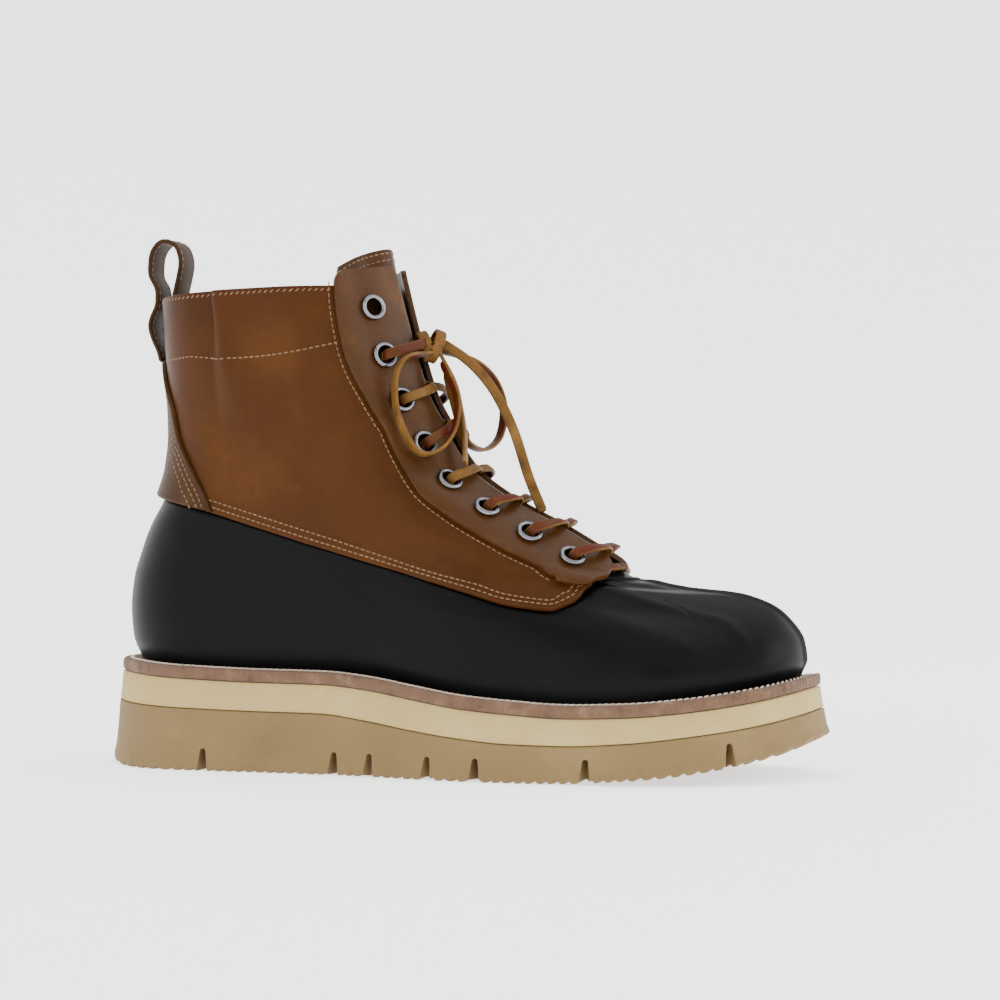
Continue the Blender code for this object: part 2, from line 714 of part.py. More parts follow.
def build_welt():
    """Welt strip between the midsole's rim and the upper."""
    def under(x):
        return sole_height("top", x) + FIT_GAP

    rings = []
    for reach, level in ((WELT_REACH, under), (WELT_REACH, welt_top), (-WELT_LAP, welt_top), (-WELT_LAP, under)):
        lateral, medial = outline_at(reach, level)
        rings.append(np.concatenate([lateral, medial[1:-1][::-1]]))
    lower_out, upper_out, upper_in, lower_in = rings
    wall("welt", [lower_out, upper_out], [lower_in, upper_in], "welt", closed=True)


def build_insole():
    """Insole board inside the shell."""
    reach = -SHELL_WALL - 3 * FIT_GAP

    def under(x):
        return welt_top(x) + FIT_GAP

    def top(x):
        return under(x) + INSOLE_THICKNESS

    layers("insole", [outline_at(reach, under), outline_at(reach, top)], "insole")


def leather_edge_places():
    """Lower edge of the leather as (level, turn) places from the tip to the heel."""
    places = [locate(x, rise) for x, rise in LEATHER_EDGE]
    places[-1] = (places[-1][0], 1.0)
    return places


def shell_rim(turn, places):
    """Levels at a turn where the shell steps in under the leather's edge, and of its rim a lap above that."""
    turns = np.array([place[1] for place in places])
    levels = np.array([place[0] for place in places])
    order = np.argsort(turns)
    if turn < turns[order][0]:
        return THROAT_LEVEL - THROAT_STEP_LEVELS, THROAT_LEVEL
    edge = float(np.interp(turn, turns[order], levels[order]))
    step = surface(edge + 0.5, turn) - surface(edge - 0.5, turn)
    top = min(edge + SHELL_LAP / np.linalg.norm(step), THROAT_LEVEL)
    return min(edge + RIM_STEP_LEVELS / 2, THROAT_LEVEL - 2 * RIM_STEP_LEVELS), top


def rib_height(level, turn):
    """Height of the moulded ridge and ribs at a place on the vamp."""
    turn = abs(turn)
    raised = 0.0
    if turn < 0.001:
        raised = RIB_HEIGHT * min(1.0, max(0.0, RIDGE_TOP_LEVEL - level))
    for rib in RIBS:
        levels = [row[0] for row in rib][::-1]
        turns = [row[1] for row in rib][::-1]
        if levels[0] <= level <= levels[-1]:
            off = abs(turn - np.interp(level, levels, turns))
            raised = max(raised, RIB_HEIGHT * 0.6 * max(0.0, 1 - off / RIDGE_HALF_SHARE))
    return raised


def ring_turns():
    """Turns of the columns round the shell, closer at the ridge."""
    near = [0.0, 0.012, 0.03]
    rest = 0.06 + (1 - 0.06) * end_spacing(RING_STEPS - 6)
    lateral = [*near, *rest]
    return lateral + [-turn for turn in lateral[1:-1][::-1]]


def build_shell():
    """Rubber shell from the feather edge to the rim, which steps in under the leather."""
    places = leather_edge_places()
    places[0] = (places[0][0] - RIM_STEP_LEVELS, places[0][1] - TIP_MARGIN)
    turns = ring_turns()
    outer, inner = [], []
    for row in range(SHELL_ROWS + 1):
        outer_row, inner_row = [], []
        for turn in turns:
            edge, top = shell_rim(abs(turn), places)
            if row < SHELL_ROWS - 1:
                level, lift = (edge - RIM_STEP_LEVELS) * row / (SHELL_ROWS - 2), 0.0
            else:
                level, lift = (edge, -RIM_STEP) if row == SHELL_ROWS - 1 else (top, -RIM_STEP)
            raised = rib_height(level, turn) if 0 < row < SHELL_ROWS - 1 else 0.0
            out_point = lifted(level, turn, lift + raised)
            in_point = lifted(level, turn, -SHELL_WALL)
            if row == 0:
                out_point[2] = float(welt_top(out_point[0])[0]) + FIT_GAP
                in_point[2] = float(welt_top(in_point[0])[0]) + FIT_GAP
            outer_row.append(out_point)
            inner_row.append(in_point)
        outer.append(outer_row)
        inner.append(inner_row)
    wall("rubber_shell", outer, inner, "rubber_shell", closed=True)


def eyestay_places(count):
    """Front and rear edge of the eyestay as (level, turn) places from its lower end to its top."""
    rows = smooth_path(EYESTAY, count)
    front, rear = [], []
    for front_level, front_girth, rear_x, rear_rise in rows:
        front.append((front_level, front_girth / half_girth(front_level)))
        rear.append(locate(rear_x, rear_rise))
    return np.array(front), np.array(rear)


def mirrored(places, sign):
    """The same places on one side: sign is 1 for lateral and -1 for medial."""
    return [[(level, sign * turn) for level, turn in row] for row in places]


def grid_points(places, lift):
    """Points of a grid of places at a lift."""
    return [[lifted(level, turn, lift) for level, turn in row] for row in places]


def build_shaft():
    """Leather shaft, lapped over the shell and under the eyestays."""
    front, rear = eyestay_places(len(EYESTAY) * 2)
    seam = rear + (front - rear) * EYESTAY_SEAM_SHARE
    seam = seam[seam[:, 0] <= COLLAR_LEVEL]
    seam = np.vstack([seam, [COLLAR_LEVEL, seam[-1][1]]])
    seam = seam[seam[:, 0] >= leather_edge_places()[0][0]]
    edge = [tuple(seam[0]), *leather_edge_places()]
    bottom = spaced(edge, SHAFT_STEPS + 1)
    top_turns = seam[-1][1] + (1 - seam[-1][1]) * np.linspace(0.0, 1.0, SHAFT_STEPS + 1)
    top = np.array([(COLLAR_LEVEL, turn) for turn in top_turns])
    front_edge = spaced(seam, SHAFT_ROWS + 1)
    back_levels = np.linspace(bottom[-1][0], COLLAR_LEVEL, SHAFT_ROWS + 1)
    back = np.array([(level, 1.0) for level in back_levels])
    lateral = coons(bottom, top, front_edge, back)
    medial = mirrored(lateral, -1)
    places = [list(map(tuple, row)) + other[:-1][::-1] for row, other in zip(lateral, medial)]
    outer = grid_points(places, FIT_GAP + LEATHER_WALL)
    inner = grid_points(places, FIT_GAP)
    backstay = np.array([locate(x, rise) for x, rise in BACKSTAY_EDGE])[::-1]
    for row, thin in zip(places, outer):
        for column, (level, turn) in enumerate(row):
            from_front = min(column, len(row) - 1 - column)
            covered = 1.0 if from_front < 4 else 0.5 if from_front == 4 else 0.0
            if abs(turn) > np.interp(level, backstay[:, 0], backstay[:, 1]) - SKIVE_MARGIN:
                covered = 0.5
            thin[column] = lifted(level, turn, FIT_GAP + LEATHER_WALL - SKIVE * covered)
    wall("leather_shaft", outer, inner, "leather_shaft")


def build_backstay():
    """Backstay over the back seam."""
    rows, half = BACKSTAY_ROWS, BACKSTAY_STEPS
    edge = [locate(x, rise) for x, rise in BACKSTAY_EDGE]
    edge = spaced(edge, rows)
    heel_bottom = leather_edge_places()[-1][0]
    places = []
    for row, (level, turn) in enumerate(edge):
        middle = edge[0][0] + (heel_bottom - edge[0][0]) * row / (rows - 1)
        lateral = [(level + (middle - level) * math.sin(share * math.pi / 2), turn + (1 - turn) * share)
                   for share in np.linspace(0.0, 1.0, half + 1)]
        places.append(lateral + [(at, -turn_at) for at, turn_at in lateral[:-1][::-1]])
    wall("backstay", grid_points(places, TRIM_LIFT + BACKSTAY_THICKNESS), grid_points(places, TRIM_LIFT),
         "leather_trim")


def eyestay_grid(rows, columns):
    """Places of the eyestay on the lateral side."""
    front, rear = eyestay_places(rows)
    shares = np.linspace(0.0, 1.0, columns)
    return [[tuple(a + (b - a) * share) for share in shares] for a, b in zip(front, rear)]


def eyelet_places():
    """Places of the eyelets from the lowest to the top one, along the middle of the eyestay."""
    fine = np.array([row[1] for row in eyestay_grid(60, 3)])
    points = np.array([surface(level, turn) for level, turn in fine])
    length = np.concatenate([[0.0], np.cumsum(np.linalg.norm(np.diff(points, axis=0), axis=1))])
    wanted = np.linspace(EYELET_END_MARGIN, length[-1] - EYELET_TOP_MARGIN, EYELETS_PER_SIDE)
    return [tuple(np.interp(at, length, fine[:, axis]) for axis in range(2)) for at in wanted]


def eyelet_mesh():
    """Eyelet turned round +Z: a flange over the eyestay and a barrel through it."""
    below = EYESTAY_THICKNESS + EYELET_STANDOFF - FIT_GAP
    profile = [(EYELET_HOLE_RADIUS, -below), (EYELET_BARREL_RADIUS, -below), (EYELET_BARREL_RADIUS, 0.0),
               (EYELET_OUTER_RADIUS, 0.0), ((EYELET_OUTER_RADIUS + EYELET_BARREL_RADIUS) / 2, EYELET_HEIGHT),
               (EYELET_HOLE_RADIUS, EYELET_HEIGHT * 0.6)]
    sides = EYELET_SIDES
    points = [(r * math.cos(2 * math.pi * k / sides), r * math.sin(2 * math.pi * k / sides), z)
              for k in range(sides) for r, z in profile]
    count = len(profile)
    faces = []
    for k in range(sides):
        for step in range(count):
            a, b = k * count + step, k * count + (step + 1) % count
            c, d = ((k + 1) % sides) * count + (step + 1) % count, ((k + 1) % sides) * count + step
            faces.append((a, b, c, d))
    mesh = bpy.data.meshes.new("eyelet")
    mesh.from_pydata(points, [], faces)
    body = bmesh.new()
    body.from_mesh(mesh)
    bmesh.ops.recalc_face_normals(body, faces=body.faces)
    bmesh.ops.triangulate(body, faces=body.faces)
    body.to_mesh(mesh)
    body.free()
    mesh.shade_smooth()
    mesh.set_sharp_from_angle(angle=math.radians(50))
    mesh.materials.append(finish("eyelets"))
    return mesh


def hole_cutter(place, turned):
    """Cutter of an eyelet's hole through the eyestay."""
    mesh = bpy.data.meshes.new("hole")
    body = bmesh.new()
    bmesh.ops.create_cone(body, cap_ends=True, segments=EYELET_SIDES, radius1=EYELET_BARREL_RADIUS + FIT_GAP,
                          radius2=EYELET_BARREL_RADIUS + FIT_GAP, depth=4 * EYESTAY_THICKNESS)
    body.to_mesh(mesh)
    body.free()
    piece = bpy.data.objects.new("hole", mesh)
    bpy.context.collection.objects.link(piece)
    piece.location = place
    piece.rotation_euler = turned
    return piece


def build_eyestays():
    """Both eyestays with their eyelets."""
    lateral = eyestay_grid(EYESTAY_ROWS, EYESTAY_STEPS)
    mesh = eyelet_mesh()
    for side, sign in (("lateral", 1), ("medial", -1)):
        places = mirrored(lateral, sign)
        piece = wall(f"eyestay_{side}", grid_points(places, EYESTAY_TOP), grid_points(places, TRIM_LIFT),
                     "leather_trim")
        cutters = []
        for number, (level, turn) in enumerate(reversed(eyelet_places()), start=1):
            out = Vector(normal(level, sign * turn))
            turned = out.to_track_quat("Z", "Y").to_euler()
            seat = lifted(level, sign * turn, EYESTAY_TOP + EYELET_STANDOFF) - ORIGIN
            eyelet = bpy.data.objects.new(f"eyelet_{side}_{number}", mesh)
            bpy.context.collection.objects.link(eyelet)
            eyelet.location = seat
            eyelet.rotation_euler = turned
            cutters.append(hole_cutter(seat, turned))
        cut(piece, join_cutters(f"hole_cutters_{side}", cutters))


def build_tongue():
    """Tongue behind the throat, standing above the collar."""
    rows = smooth_path(TONGUE, TONGUE_ROWS)
    shares = np.linspace(-1.0, 1.0, TONGUE_STEPS)
    outer, inner = [], []
    for level, half_width, lift in rows:
        outer_row, inner_row = [], []
        for share in shares:
            above = max(0.0, (level - COLLAR_LEVEL) / (TONGUE[-1][0] - COLLAR_LEVEL))
            drop = TONGUE_CORNER_LEVELS * share**2 * above
            turn = share * half_width / half_girth(level)
            middle = math.cos(min(abs(share) / TONGUE_BULGE_SHARE, 1.0) * math.pi / 2)**2
            bulge = TONGUE_SIDE_LIFT + (lift - TONGUE_SIDE_LIFT) * middle
            outer_row.append(lifted(level - drop, turn, bulge))
            inner_row.append(lifted(level - drop, turn, bulge - TONGUE_THICKNESS))
        outer.append(outer_row)
        inner.append(inner_row)
    wall("tongue", outer, inner, "leather_trim")


def strap(name, path, across, width, thickness, material):
    """A flat strap along a path; across gives the direction of its width at each point."""
    path, across = np.asarray(path), np.asarray(across)
    steps = np.diff(path, axis=0)
    steps /= np.linalg.norm(steps, axis=1)[:, None]
    run = np.concatenate([steps[:1], steps[:-1] + steps[1:], steps[-1:]])
    points, faces = [], []
    for place, way, side in zip(path, run, across):
        way = way / np.linalg.norm(way)
        side = side - way * np.dot(side, way)
        side = side / np.linalg.norm(side)
        face = np.cross(way, side)
        for a, b in ((-1, -1), (1, -1), (1, 1), (-1, 1)):
            points.append(place + a * side * width / 2 + b * face * thickness / 2)
    for step in range(len(path) - 1):
        for corner in range(4):
            a, b = 4 * step + corner, 4 * step + (corner + 1) % 4
            faces.append((a, b, b + 4, a + 4))
    last = 4 * (len(path) - 1)
    faces += [(3, 2, 1, 0), (last, last + 1, last + 2, last + 3)]
    return add_object(name, points, faces, material)


def build_pull_loop():
    """Pull loop: sewn on outside, arched above the collar and down inside it."""
    outside = TRIM_LIFT + BACKSTAY_THICKNESS + FIT_GAP + PULL_LOOP_THICKNESS / 2
    inside = -(PULL_LOOP_INSIDE_GAP + PULL_LOOP_THICKNESS / 2)
    back = lifted(COLLAR_LEVEL, 1.0, 0.0)
    legs_out = [lifted(level, 1.0, outside + bulge) for level, bulge in PULL_LOOP_OUTSIDE]
    arch = [back + np.array([forward, 0.0, rise]) for forward, rise in PULL_LOOP_ARCH]
    legs_in = [lifted(level, 1.0, inside) for level in PULL_LOOP_INSIDE]
    rough = np.array([*legs_out, *arch, *legs_in])
    path = smooth_path(rough, PULL_LOOP_STEPS)
    strap("pull_loop", path, np.tile([0.0, 1.0, 0.0], (len(path), 1)), PULL_LOOP_WIDTH, PULL_LOOP_THICKNESS,
          "leather_trim")


def lace_half(first_sign):
    """Path and width directions of one half of the lace, from the middle of the bar at the lowest eyelets."""
    eyelets = eyelet_places()
    over = EYESTAY_TOP + EYELET_STANDOFF + EYELET_HEIGHT + FIT_GAP + LACE_THICKNESS * 0.85
    low_level, low_turn = eyelets[0]
    path, across = [], []

    def add(level, turn, lift, run):
        out = normal(level, turn)
        side = np.cross(out, run)
        side = side * (1.0 if side @ np.array([-0.5, 0.0, 1.0]) > 0 else -1.0)
        path.append(lifted(level, turn, lift))
        across.append(side / np.linalg.norm(side))

    sign = first_sign
    start_run = surface(low_level, sign * low_turn) - surface(low_level, 0.0)
    for share, rise in ((LACE_BAR_OVERLAPS[first_sign], LACE_BAR_OVERLAP_LIFT), *LACE_BAR):
        add(low_level, sign * share * low_turn, LACE_BAR_LIFT + rise, start_run)
    for row in range(EYELETS_PER_SIDE - 1):
        level, turn = eyelets[row]
        here = surface(level, sign * turn)
        add(level, sign * turn * 0.98, LACE_BAR_LIFT, start_run)
        add(level, sign * turn * 0.99, EYESTAY_TOP * 0.55, start_run)
        if row == EYELETS_PER_SIDE - 2:
            break
        next_level, next_turn = eyelets[row + 1]
        target = surface(next_level, -sign * next_turn)
        run = target - here
        add(level, sign * turn * 0.97, over * LACE_RISE_SHARE, run)
        for share, over_share, more in LACE_CROSSING:
            at = turn * (1 - 2 * share) if share <= 0.5 else -next_turn * (2 * share - 1)
            weave = LACE_WEAVE * first_sign * (1 if row % 2 else -1) if share == 0.5 else 0.0
            add(level + (next_level - level) * share, sign * at, over * over_share + more + weave, run)
        start_run = run
        sign = -sign
    for share, over_share in LACE_TO_KNOT:
        rise = (1 - share) * (KNOT_LEVEL - level)
        add(level + rise, sign * turn * share, over * over_share, here - surface(KNOT_LEVEL, 0.0))
    across = np.array(across)
    for _ in range(TWIST_SMOOTHING):
        across[1:-1] = across[:-2] + 2 * across[1:-1] + across[2:]
        across /= np.linalg.norm(across, axis=1)[:, None]
    return np.array(path), across


def build_laces():
    """Crossed lace through the eyelets, one solid joined where it crosses."""
    halves = []
    for name, sign in (("lace_crossings", 1), ("lace_other_half", -1)):
        path, across = lace_half(sign)
        halves.append(strap(name, path, across, LACE_WIDTH, LACE_THICKNESS, "laces"))
    bpy.context.view_layer.update()
    joined(*halves)


def cord(name, points, radius, count):
    """Free cord through points in the frame of the part, as a round tube with filled caps."""
    rough = np.asarray(points)
    gaps = np.concatenate([[0.0], np.cumsum(np.linalg.norm(np.diff(rough, axis=0), axis=1))])
    smooth = pchip(gaps, rough, np.linspace(0.0, gaps[-1], count))
    curve = bpy.data.curves.new(name, "CURVE")
    curve.dimensions = "3D"
    curve.bevel_depth = radius
    curve.bevel_resolution = 2
    curve.use_fill_caps = True
    spline = curve.splines.new("POLY")
    spline.points.add(count - 1)
    for point, place in zip(spline.points, smooth):
        point.co = (*place, 1.0)
    curve.materials.append(finish("laces"))
    piece = bpy.data.objects.new(name, curve)
    bpy.context.collection.objects.link(piece)
    return piece


def build_bow():
    """Knot, loops and ends of the bow."""
    middle = surface(KNOT_LEVEL, 0.0) + np.array(KNOT_PLACE) - ORIGIN
    cord("lace_knot", [middle + np.array(place) for place in KNOT_ROUTE], KNOT_RADIUS, KNOT_POINTS)
    for name, places in BOW_ROUTES.items():
        cord(name, [middle + np.array(place) for place in places], CORD_RADIUS, BOW_POINTS[name])


def main():
    """Build every piece of the boot."""
    for piece in list(bpy.data.objects):
        bpy.data.objects.remove(piece)
    build_outsole()
    build_midsole()
    build_welt()
    build_insole()
    build_shell()
    build_shaft()
    build_backstay()
    build_eyestays()
    build_tongue()
    build_pull_loop()
    build_laces()
    build_bow()


main()
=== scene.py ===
"""Dresses the duck boot: a right boot with a moulded rubber shell and a leather shaft, standing empty.

Sizes are in metres. +X points to the toe, +Y to the medial side, +Z up, and the floor is z = 0. The upper's pieces
lie on one surface, the last's, whose places are a ring level and a turn round the boot.
"""
from __future__ import annotations

import logging
import math
from collections.abc import Callable
from dataclasses import dataclass, field
from enum import Enum

import bmesh
import bpy
import numpy as np
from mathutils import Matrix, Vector


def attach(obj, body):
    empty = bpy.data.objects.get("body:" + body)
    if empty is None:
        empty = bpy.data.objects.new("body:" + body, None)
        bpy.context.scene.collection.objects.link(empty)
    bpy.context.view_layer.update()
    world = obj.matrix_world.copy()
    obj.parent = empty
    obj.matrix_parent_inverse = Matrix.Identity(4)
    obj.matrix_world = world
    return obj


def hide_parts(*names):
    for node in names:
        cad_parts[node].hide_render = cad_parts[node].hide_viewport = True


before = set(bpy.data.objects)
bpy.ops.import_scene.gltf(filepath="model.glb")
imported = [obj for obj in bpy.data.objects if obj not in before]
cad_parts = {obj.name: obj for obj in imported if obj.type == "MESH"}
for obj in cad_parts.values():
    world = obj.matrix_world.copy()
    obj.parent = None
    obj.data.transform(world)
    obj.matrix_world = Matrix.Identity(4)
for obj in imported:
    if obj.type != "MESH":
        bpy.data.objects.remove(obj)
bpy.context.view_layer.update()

LOG = logging.getLogger("duck boot")
Array = np.ndarray


def pchip(xs: Array, ys: Array, x: Array) -> Array:
    """Monotone cubic through the rows of a table.

    Args:
        xs: Places of the rows, rising.
        ys: Values of the rows, one or several columns.
        x: Places to read.

    Returns:
        The values at x.
    """
    xs, ys = np.asarray(xs, float), np.asarray(ys, float)
    flat = ys.ndim == 1
    ys = ys[:, None] if flat else ys
    steps = np.diff(xs)[:, None]
    slopes = np.diff(ys, axis=0) / steps
    tangents = np.zeros_like(ys)
    before, after = slopes[:-1], slopes[1:]
    same = before * after > 0
    w1, w2 = 2 * steps[1:] + steps[:-1], steps[1:] + 2 * steps[:-1]
    mean = (w1 + w2) / (w1 / np.where(same, before, 1.0) + w2 / np.where(same, after, 1.0))
    tangents[1:-1] = np.where(same, mean, 0.0)
    tangents[0], tangents[-1] = slopes[0], slopes[-1]
    x = np.atleast_1d(np.asarray(x, float))
    at = np.clip(np.searchsorted(xs, x, side="right") - 1, 0, len(xs) - 2)
    h = steps[at]
    t = (np.clip(x, xs[0], xs[-1])[:, None] - xs[at][:, None]) / h
    value = ((2 * t**3 - 3 * t**2 + 1) * ys[at] + (t**3 - 2 * t**2 + t) * h * tangents[at]
             + (-2 * t**3 + 3 * t**2) * ys[at + 1] + (t**3 - t**2) * h * tangents[at + 1])
    return value[:, 0] if flat else value


def lengths(points: Array) -> Array:
    """Distance of each point from the first along a line of points."""
    return np.concatenate([[0.0], np.cumsum(np.linalg.norm(np.diff(points, axis=0), axis=1))])


def unit(vectors: Array) -> Array:
    """The vectors at length one."""
    return vectors / np.maximum(np.linalg.norm(vectors, axis=-1, keepdims=True), 1e-12)


def shares(count: int, length: float, radius: float) -> Array:
    """Shares from 0 to 1 with extra places near both ends for a rounded edge.

    Args:
        count: How many even steps lie between the edges.
        length: Length of the run.
        radius: Radius of the edge.

    Returns:
        Rising shares.
    """
    near = radius * np.array([0.0, 0.08, 0.3, 0.65]) / length
    return np.concatenate([near, np.linspace(radius / length, 1 - radius / length, count), 1 - near[::-1]])


def edge_drop(distance: Array, radius: float) -> Array:
    """How far a rounded edge of that radius falls at a distance from the edge."""
    inside = np.clip(radius - distance, 0.0, radius)
    return radius - np.sqrt(np.maximum(radius**2 - inside**2, 0.0))


@dataclass
class Last:
    """The surface that the upper is drawn on, as a stack of rings hinged between heel and front.

    The rows of sections go from the feather edge to above the collar. heel_x and front_x are shares of the
    length, the rises count the instep's height as 0 to 1 and the shaft's as 1 to 2, and the widths are shares.
    """

    length: float = 0.2865
    ball_width: float = 0.094
    heel_width: float = 0.074
    instep: float = 0.097
    shaft: float = 0.058
    toe_inward: float = 0.006
    origin: tuple[float, float] = (0.14325, 0.000312)
    sole_overhang: float = 0.0115
    heel_stack: float = 0.040
    welt: float = 0.005
    gap: float = 0.0003
    columns: tuple[str, ...] = ("heel_x", "heel_rise", "front_x", "front_rise", "sag", "heel", "waist_out",
                                "waist_in", "mid_out", "mid_in", "fore_out", "fore_in", "tip")
    sections: tuple[tuple[float, ...], ...] = (
        (0.000, 0.000, 1.000, -0.005, 1.00, 0.453, 0.367, 0.314, 0.479, 0.404, 0.495, 0.457, 0.295),
        (-0.013, 0.103, 1.008, 0.057, 0.85, 0.486, 0.394, 0.340, 0.500, 0.441, 0.511, 0.479, 0.300),
        (-0.016, 0.227, 1.004, 0.134, 0.65, 0.500, 0.410, 0.367, 0.489, 0.452, 0.468, 0.457, 0.255),
        (-0.012, 0.351, 0.988, 0.201, 0.40, 0.493, 0.410, 0.378, 0.463, 0.441, 0.394, 0.399, 0.207),
        (0.000, 0.474, 0.962, 0.258, 0.20, 0.473, 0.404, 0.383, 0.415, 0.415, 0.303, 0.309, 0.144),
        (0.014, 0.588, 0.911, 0.299, 0.05, 0.457, 0.399, 0.388, 0.388, 0.388, 0.266, 0.277, 0.090),
        (0.036, 0.711, 0.852, 0.312, 0.00, 0.436, 0.394, 0.388, 0.383, 0.383, 0.290, 0.298, 0.100),
        (0.051, 0.856, 0.792, 0.345, 0.00, 0.423, 0.388, 0.388, 0.378, 0.378, 0.305, 0.314, 0.138),
        (0.056, 1.000, 0.730, 0.420, 0.00, 0.423, 0.383, 0.383, 0.378, 0.378, 0.300, 0.303, 0.155),
        (0.055, 1.190, 0.652, 0.550, 0.00, 0.430, 0.383, 0.383, 0.378, 0.378, 0.284, 0.287, 0.155),
        (0.051, 1.379, 0.573, 0.673, 0.00, 0.439, 0.388, 0.388, 0.383, 0.383, 0.314, 0.314, 0.165),
        (0.047, 1.586, 0.505, 0.831, 0.00, 0.450, 0.394, 0.394, 0.388, 0.388, 0.324, 0.324, 0.202),
        (0.044, 1.793, 0.452, 1.164, 0.00, 0.462, 0.404, 0.404, 0.399, 0.399, 0.330, 0.330, 0.223),
        (0.042, 1.985, 0.399, 2.035, 0.00, 0.473, 0.415, 0.415, 0.420, 0.420, 0.335, 0.335, 0.234),
        (0.040, 2.397, 0.382, 2.397, 0.00, 0.480, 0.420, 0.420, 0.426, 0.426, 0.335, 0.335, 0.234),
    )
    sole_rows: tuple[tuple[float, ...], ...] = (
        (0.000, 0.062, 0.700, 1.008), (0.060, 0.000, 0.670, 0.985), (0.140, 0.000, 0.645, 0.950),
        (0.250, 0.000, 0.625, 0.923), (0.345, 0.000, 0.618, 0.915), (0.410, 0.000, 0.563, 0.875),
        (0.480, 0.000, 0.485, 0.795), (0.550, 0.000, 0.420, 0.715), (0.620, 0.000, 0.378, 0.670),
        (0.690, 0.008, 0.373, 0.643), (0.770, 0.045, 0.408, 0.663), (0.845, 0.105, 0.473, 0.715),
        (0.920, 0.210, 0.558, 0.800), (0.970, 0.320, 0.645, 0.888), (1.000, 0.438, 0.713, 0.958),
    )
    level_steps: int = 281
    turn_steps: int = 801
    samples: int = 200

    def __post_init__(self) -> None:
        """Work out the surface and its normals once, on a fine grid of levels and turns."""
        self.base = float(self.welt_top(np.array([0.0]))[0]) + self.gap
        levels = np.linspace(0.0, len(self.sections) - 1.0, self.level_steps)
        half = self.turn_steps // 2
        turns = np.linspace(0.0, 1.0, half + 1)
        rows, self.girths = [], []
        for level in levels:
            lateral, medial = (self.ring(level, side) for side in ("out", "in"))
            out_girth, in_girth = lengths(lateral), lengths(medial)
            self.girths.append(out_girth[-1])
            right = np.stack([np.interp(turns * out_girth[-1], out_girth, lateral[:, k]) for k in range(3)], 1)
            left = np.stack([np.interp(turns * in_girth[-1], in_girth, medial[:, k]) for k in range(3)], 1)
            rows.append(np.concatenate([left[::-1], right[1:]]))
        self.levels = levels
        self.table = self.faired(np.array(rows) - np.array([*self.origin, 0.0]))
        wide = np.concatenate([self.table[:, -4:-1], self.table, self.table[:, 1:4]], axis=1)
        across = (wide[:, 6:] - wide[:, :-6])
        up = np.gradient(self.table, axis=0)
        self.normals = self.faired(unit(np.cross(up, across)), 14)

    def faired(self, table: Array, rounds: int = 130) -> Array:
        """Smooth a table round its rings without shrinking them, as a lasted upper bridges the last's kinks.

        Args:
            table: Rows of rings, closed at their last column.
            rounds: How often it is smoothed.

        Returns:
            The smoothed table.
        """
        ring = table[:, :-1]
        for _ in range(rounds):
            for share in (0.5, -0.52):
                ring = ring + share * ((np.roll(ring, 1, axis=1) + np.roll(ring, -1, axis=1)) / 2 - ring)
        return np.concatenate([ring, ring[:, :1]], axis=1)

    def sole_height(self, column: int, x: Array) -> Array:
        """Height of a sole layer at x from the last's heel; columns are 1 ground, 2 tread, 3 top."""
        rows = np.array(self.sole_rows)
        along = (np.asarray(x) + self.sole_overhang) / (self.length + 2 * self.sole_overhang)
        return self.heel_stack * pchip(rows[:, 0], rows[:, column], along)

    def welt_top(self, x: Array) -> Array:
        """Top of the welt at x from the last's heel."""
        return self.sole_height(3, x) + self.gap + self.welt

    def rise(self, value: float) -> float:
        """Height above the feather edge for a rise."""
        return self.instep * min(value, 1.0) + self.shaft * max(value - 1.0, 0.0)

    def ring(self, level: float, side: str) -> Array:
        """Half of a ring.

        Args:
            level: Level of the ring.
            side: "out" for the lateral half or "in" for the medial one.

        Returns:
            Points from the front to the heel, in the last's own frame.
        """
        row = dict(zip(self.columns, pchip(range(len(self.sections)), self.sections, level)[0]))
        heel_x, front_x = row["heel_x"] * self.length, row["front_x"] * self.length
        length = front_x - heel_x
        along = (1 + np.cos(np.linspace(0.0, math.pi, self.samples))) / 2
        x = heel_x + length * along
        heel = row["heel"] * self.heel_width
        stations = [(heel, heel)]
        for name, share in (("waist", 0.35), ("mid", 0.58), ("fore", 0.80)):
            stations.append((share * length, row[f"{name}_{side}"] * self.ball_width))
        stations.append((length - 0.012, row["tip"] * self.ball_width))
        places = [place for place, _ in stations] + [length]
        squares = [width**2 for _, width in stations] + [0.0]
        body = pchip(places, squares, np.maximum(along * length, heel))
        cap = np.maximum(2 * heel * along * length - (along * length)**2, 0.0)
        half = np.sqrt(np.maximum(np.where(along * length < heel, cap, body), 0.0))
        front_z, heel_z = self.rise(row["front_rise"]), self.rise(row["heel_rise"])
        level_z = front_z + (heel_z - front_z) * (1 - along)**1.5
        dip = self.welt_top(x) + self.gap - self.base
        z = self.base + level_z * (1 - row["sag"]) + (dip + level_z) * row["sag"]
        z = self.base + dip if level == 0.0 else z
        swing = self.toe_inward * np.maximum(0.0, (x / self.length - 0.43) / 0.57)**2
        return np.stack([x, swing + (half if side == "in" else -half), z], axis=1)

    def read(self, table: Array, level: Array, turn: Array) -> Array:
        """Read a table of the surface between its rows and columns.

        Args:
            table: Table of places or of normals.
            level: Ring levels.
            turn: Turns round the rings, -1 to 1.

        Returns:
            Values between the table's rows and columns.
        """
        level, turn = np.broadcast_arrays(np.asarray(level, float), np.asarray(turn, float))
        turn = (turn + 1.0) % 2.0 - 1.0
        a = np.clip(level / self.levels[-1], 0.0, 1.0) * (self.level_steps - 1)
        b = (turn + 1.0) / 2.0 * (self.turn_steps - 1)
        i = np.minimum(a.astype(int), self.level_steps - 2)
        j = np.minimum(b.astype(int), self.turn_steps - 2)
        s, t = (a - i)[..., None], (b - j)[..., None]
        low = table[i, j] * (1 - t) + table[i, j + 1] * t
        high = table[i + 1, j] * (1 - t) + table[i + 1, j + 1] * t
        return low * (1 - s) + high * s

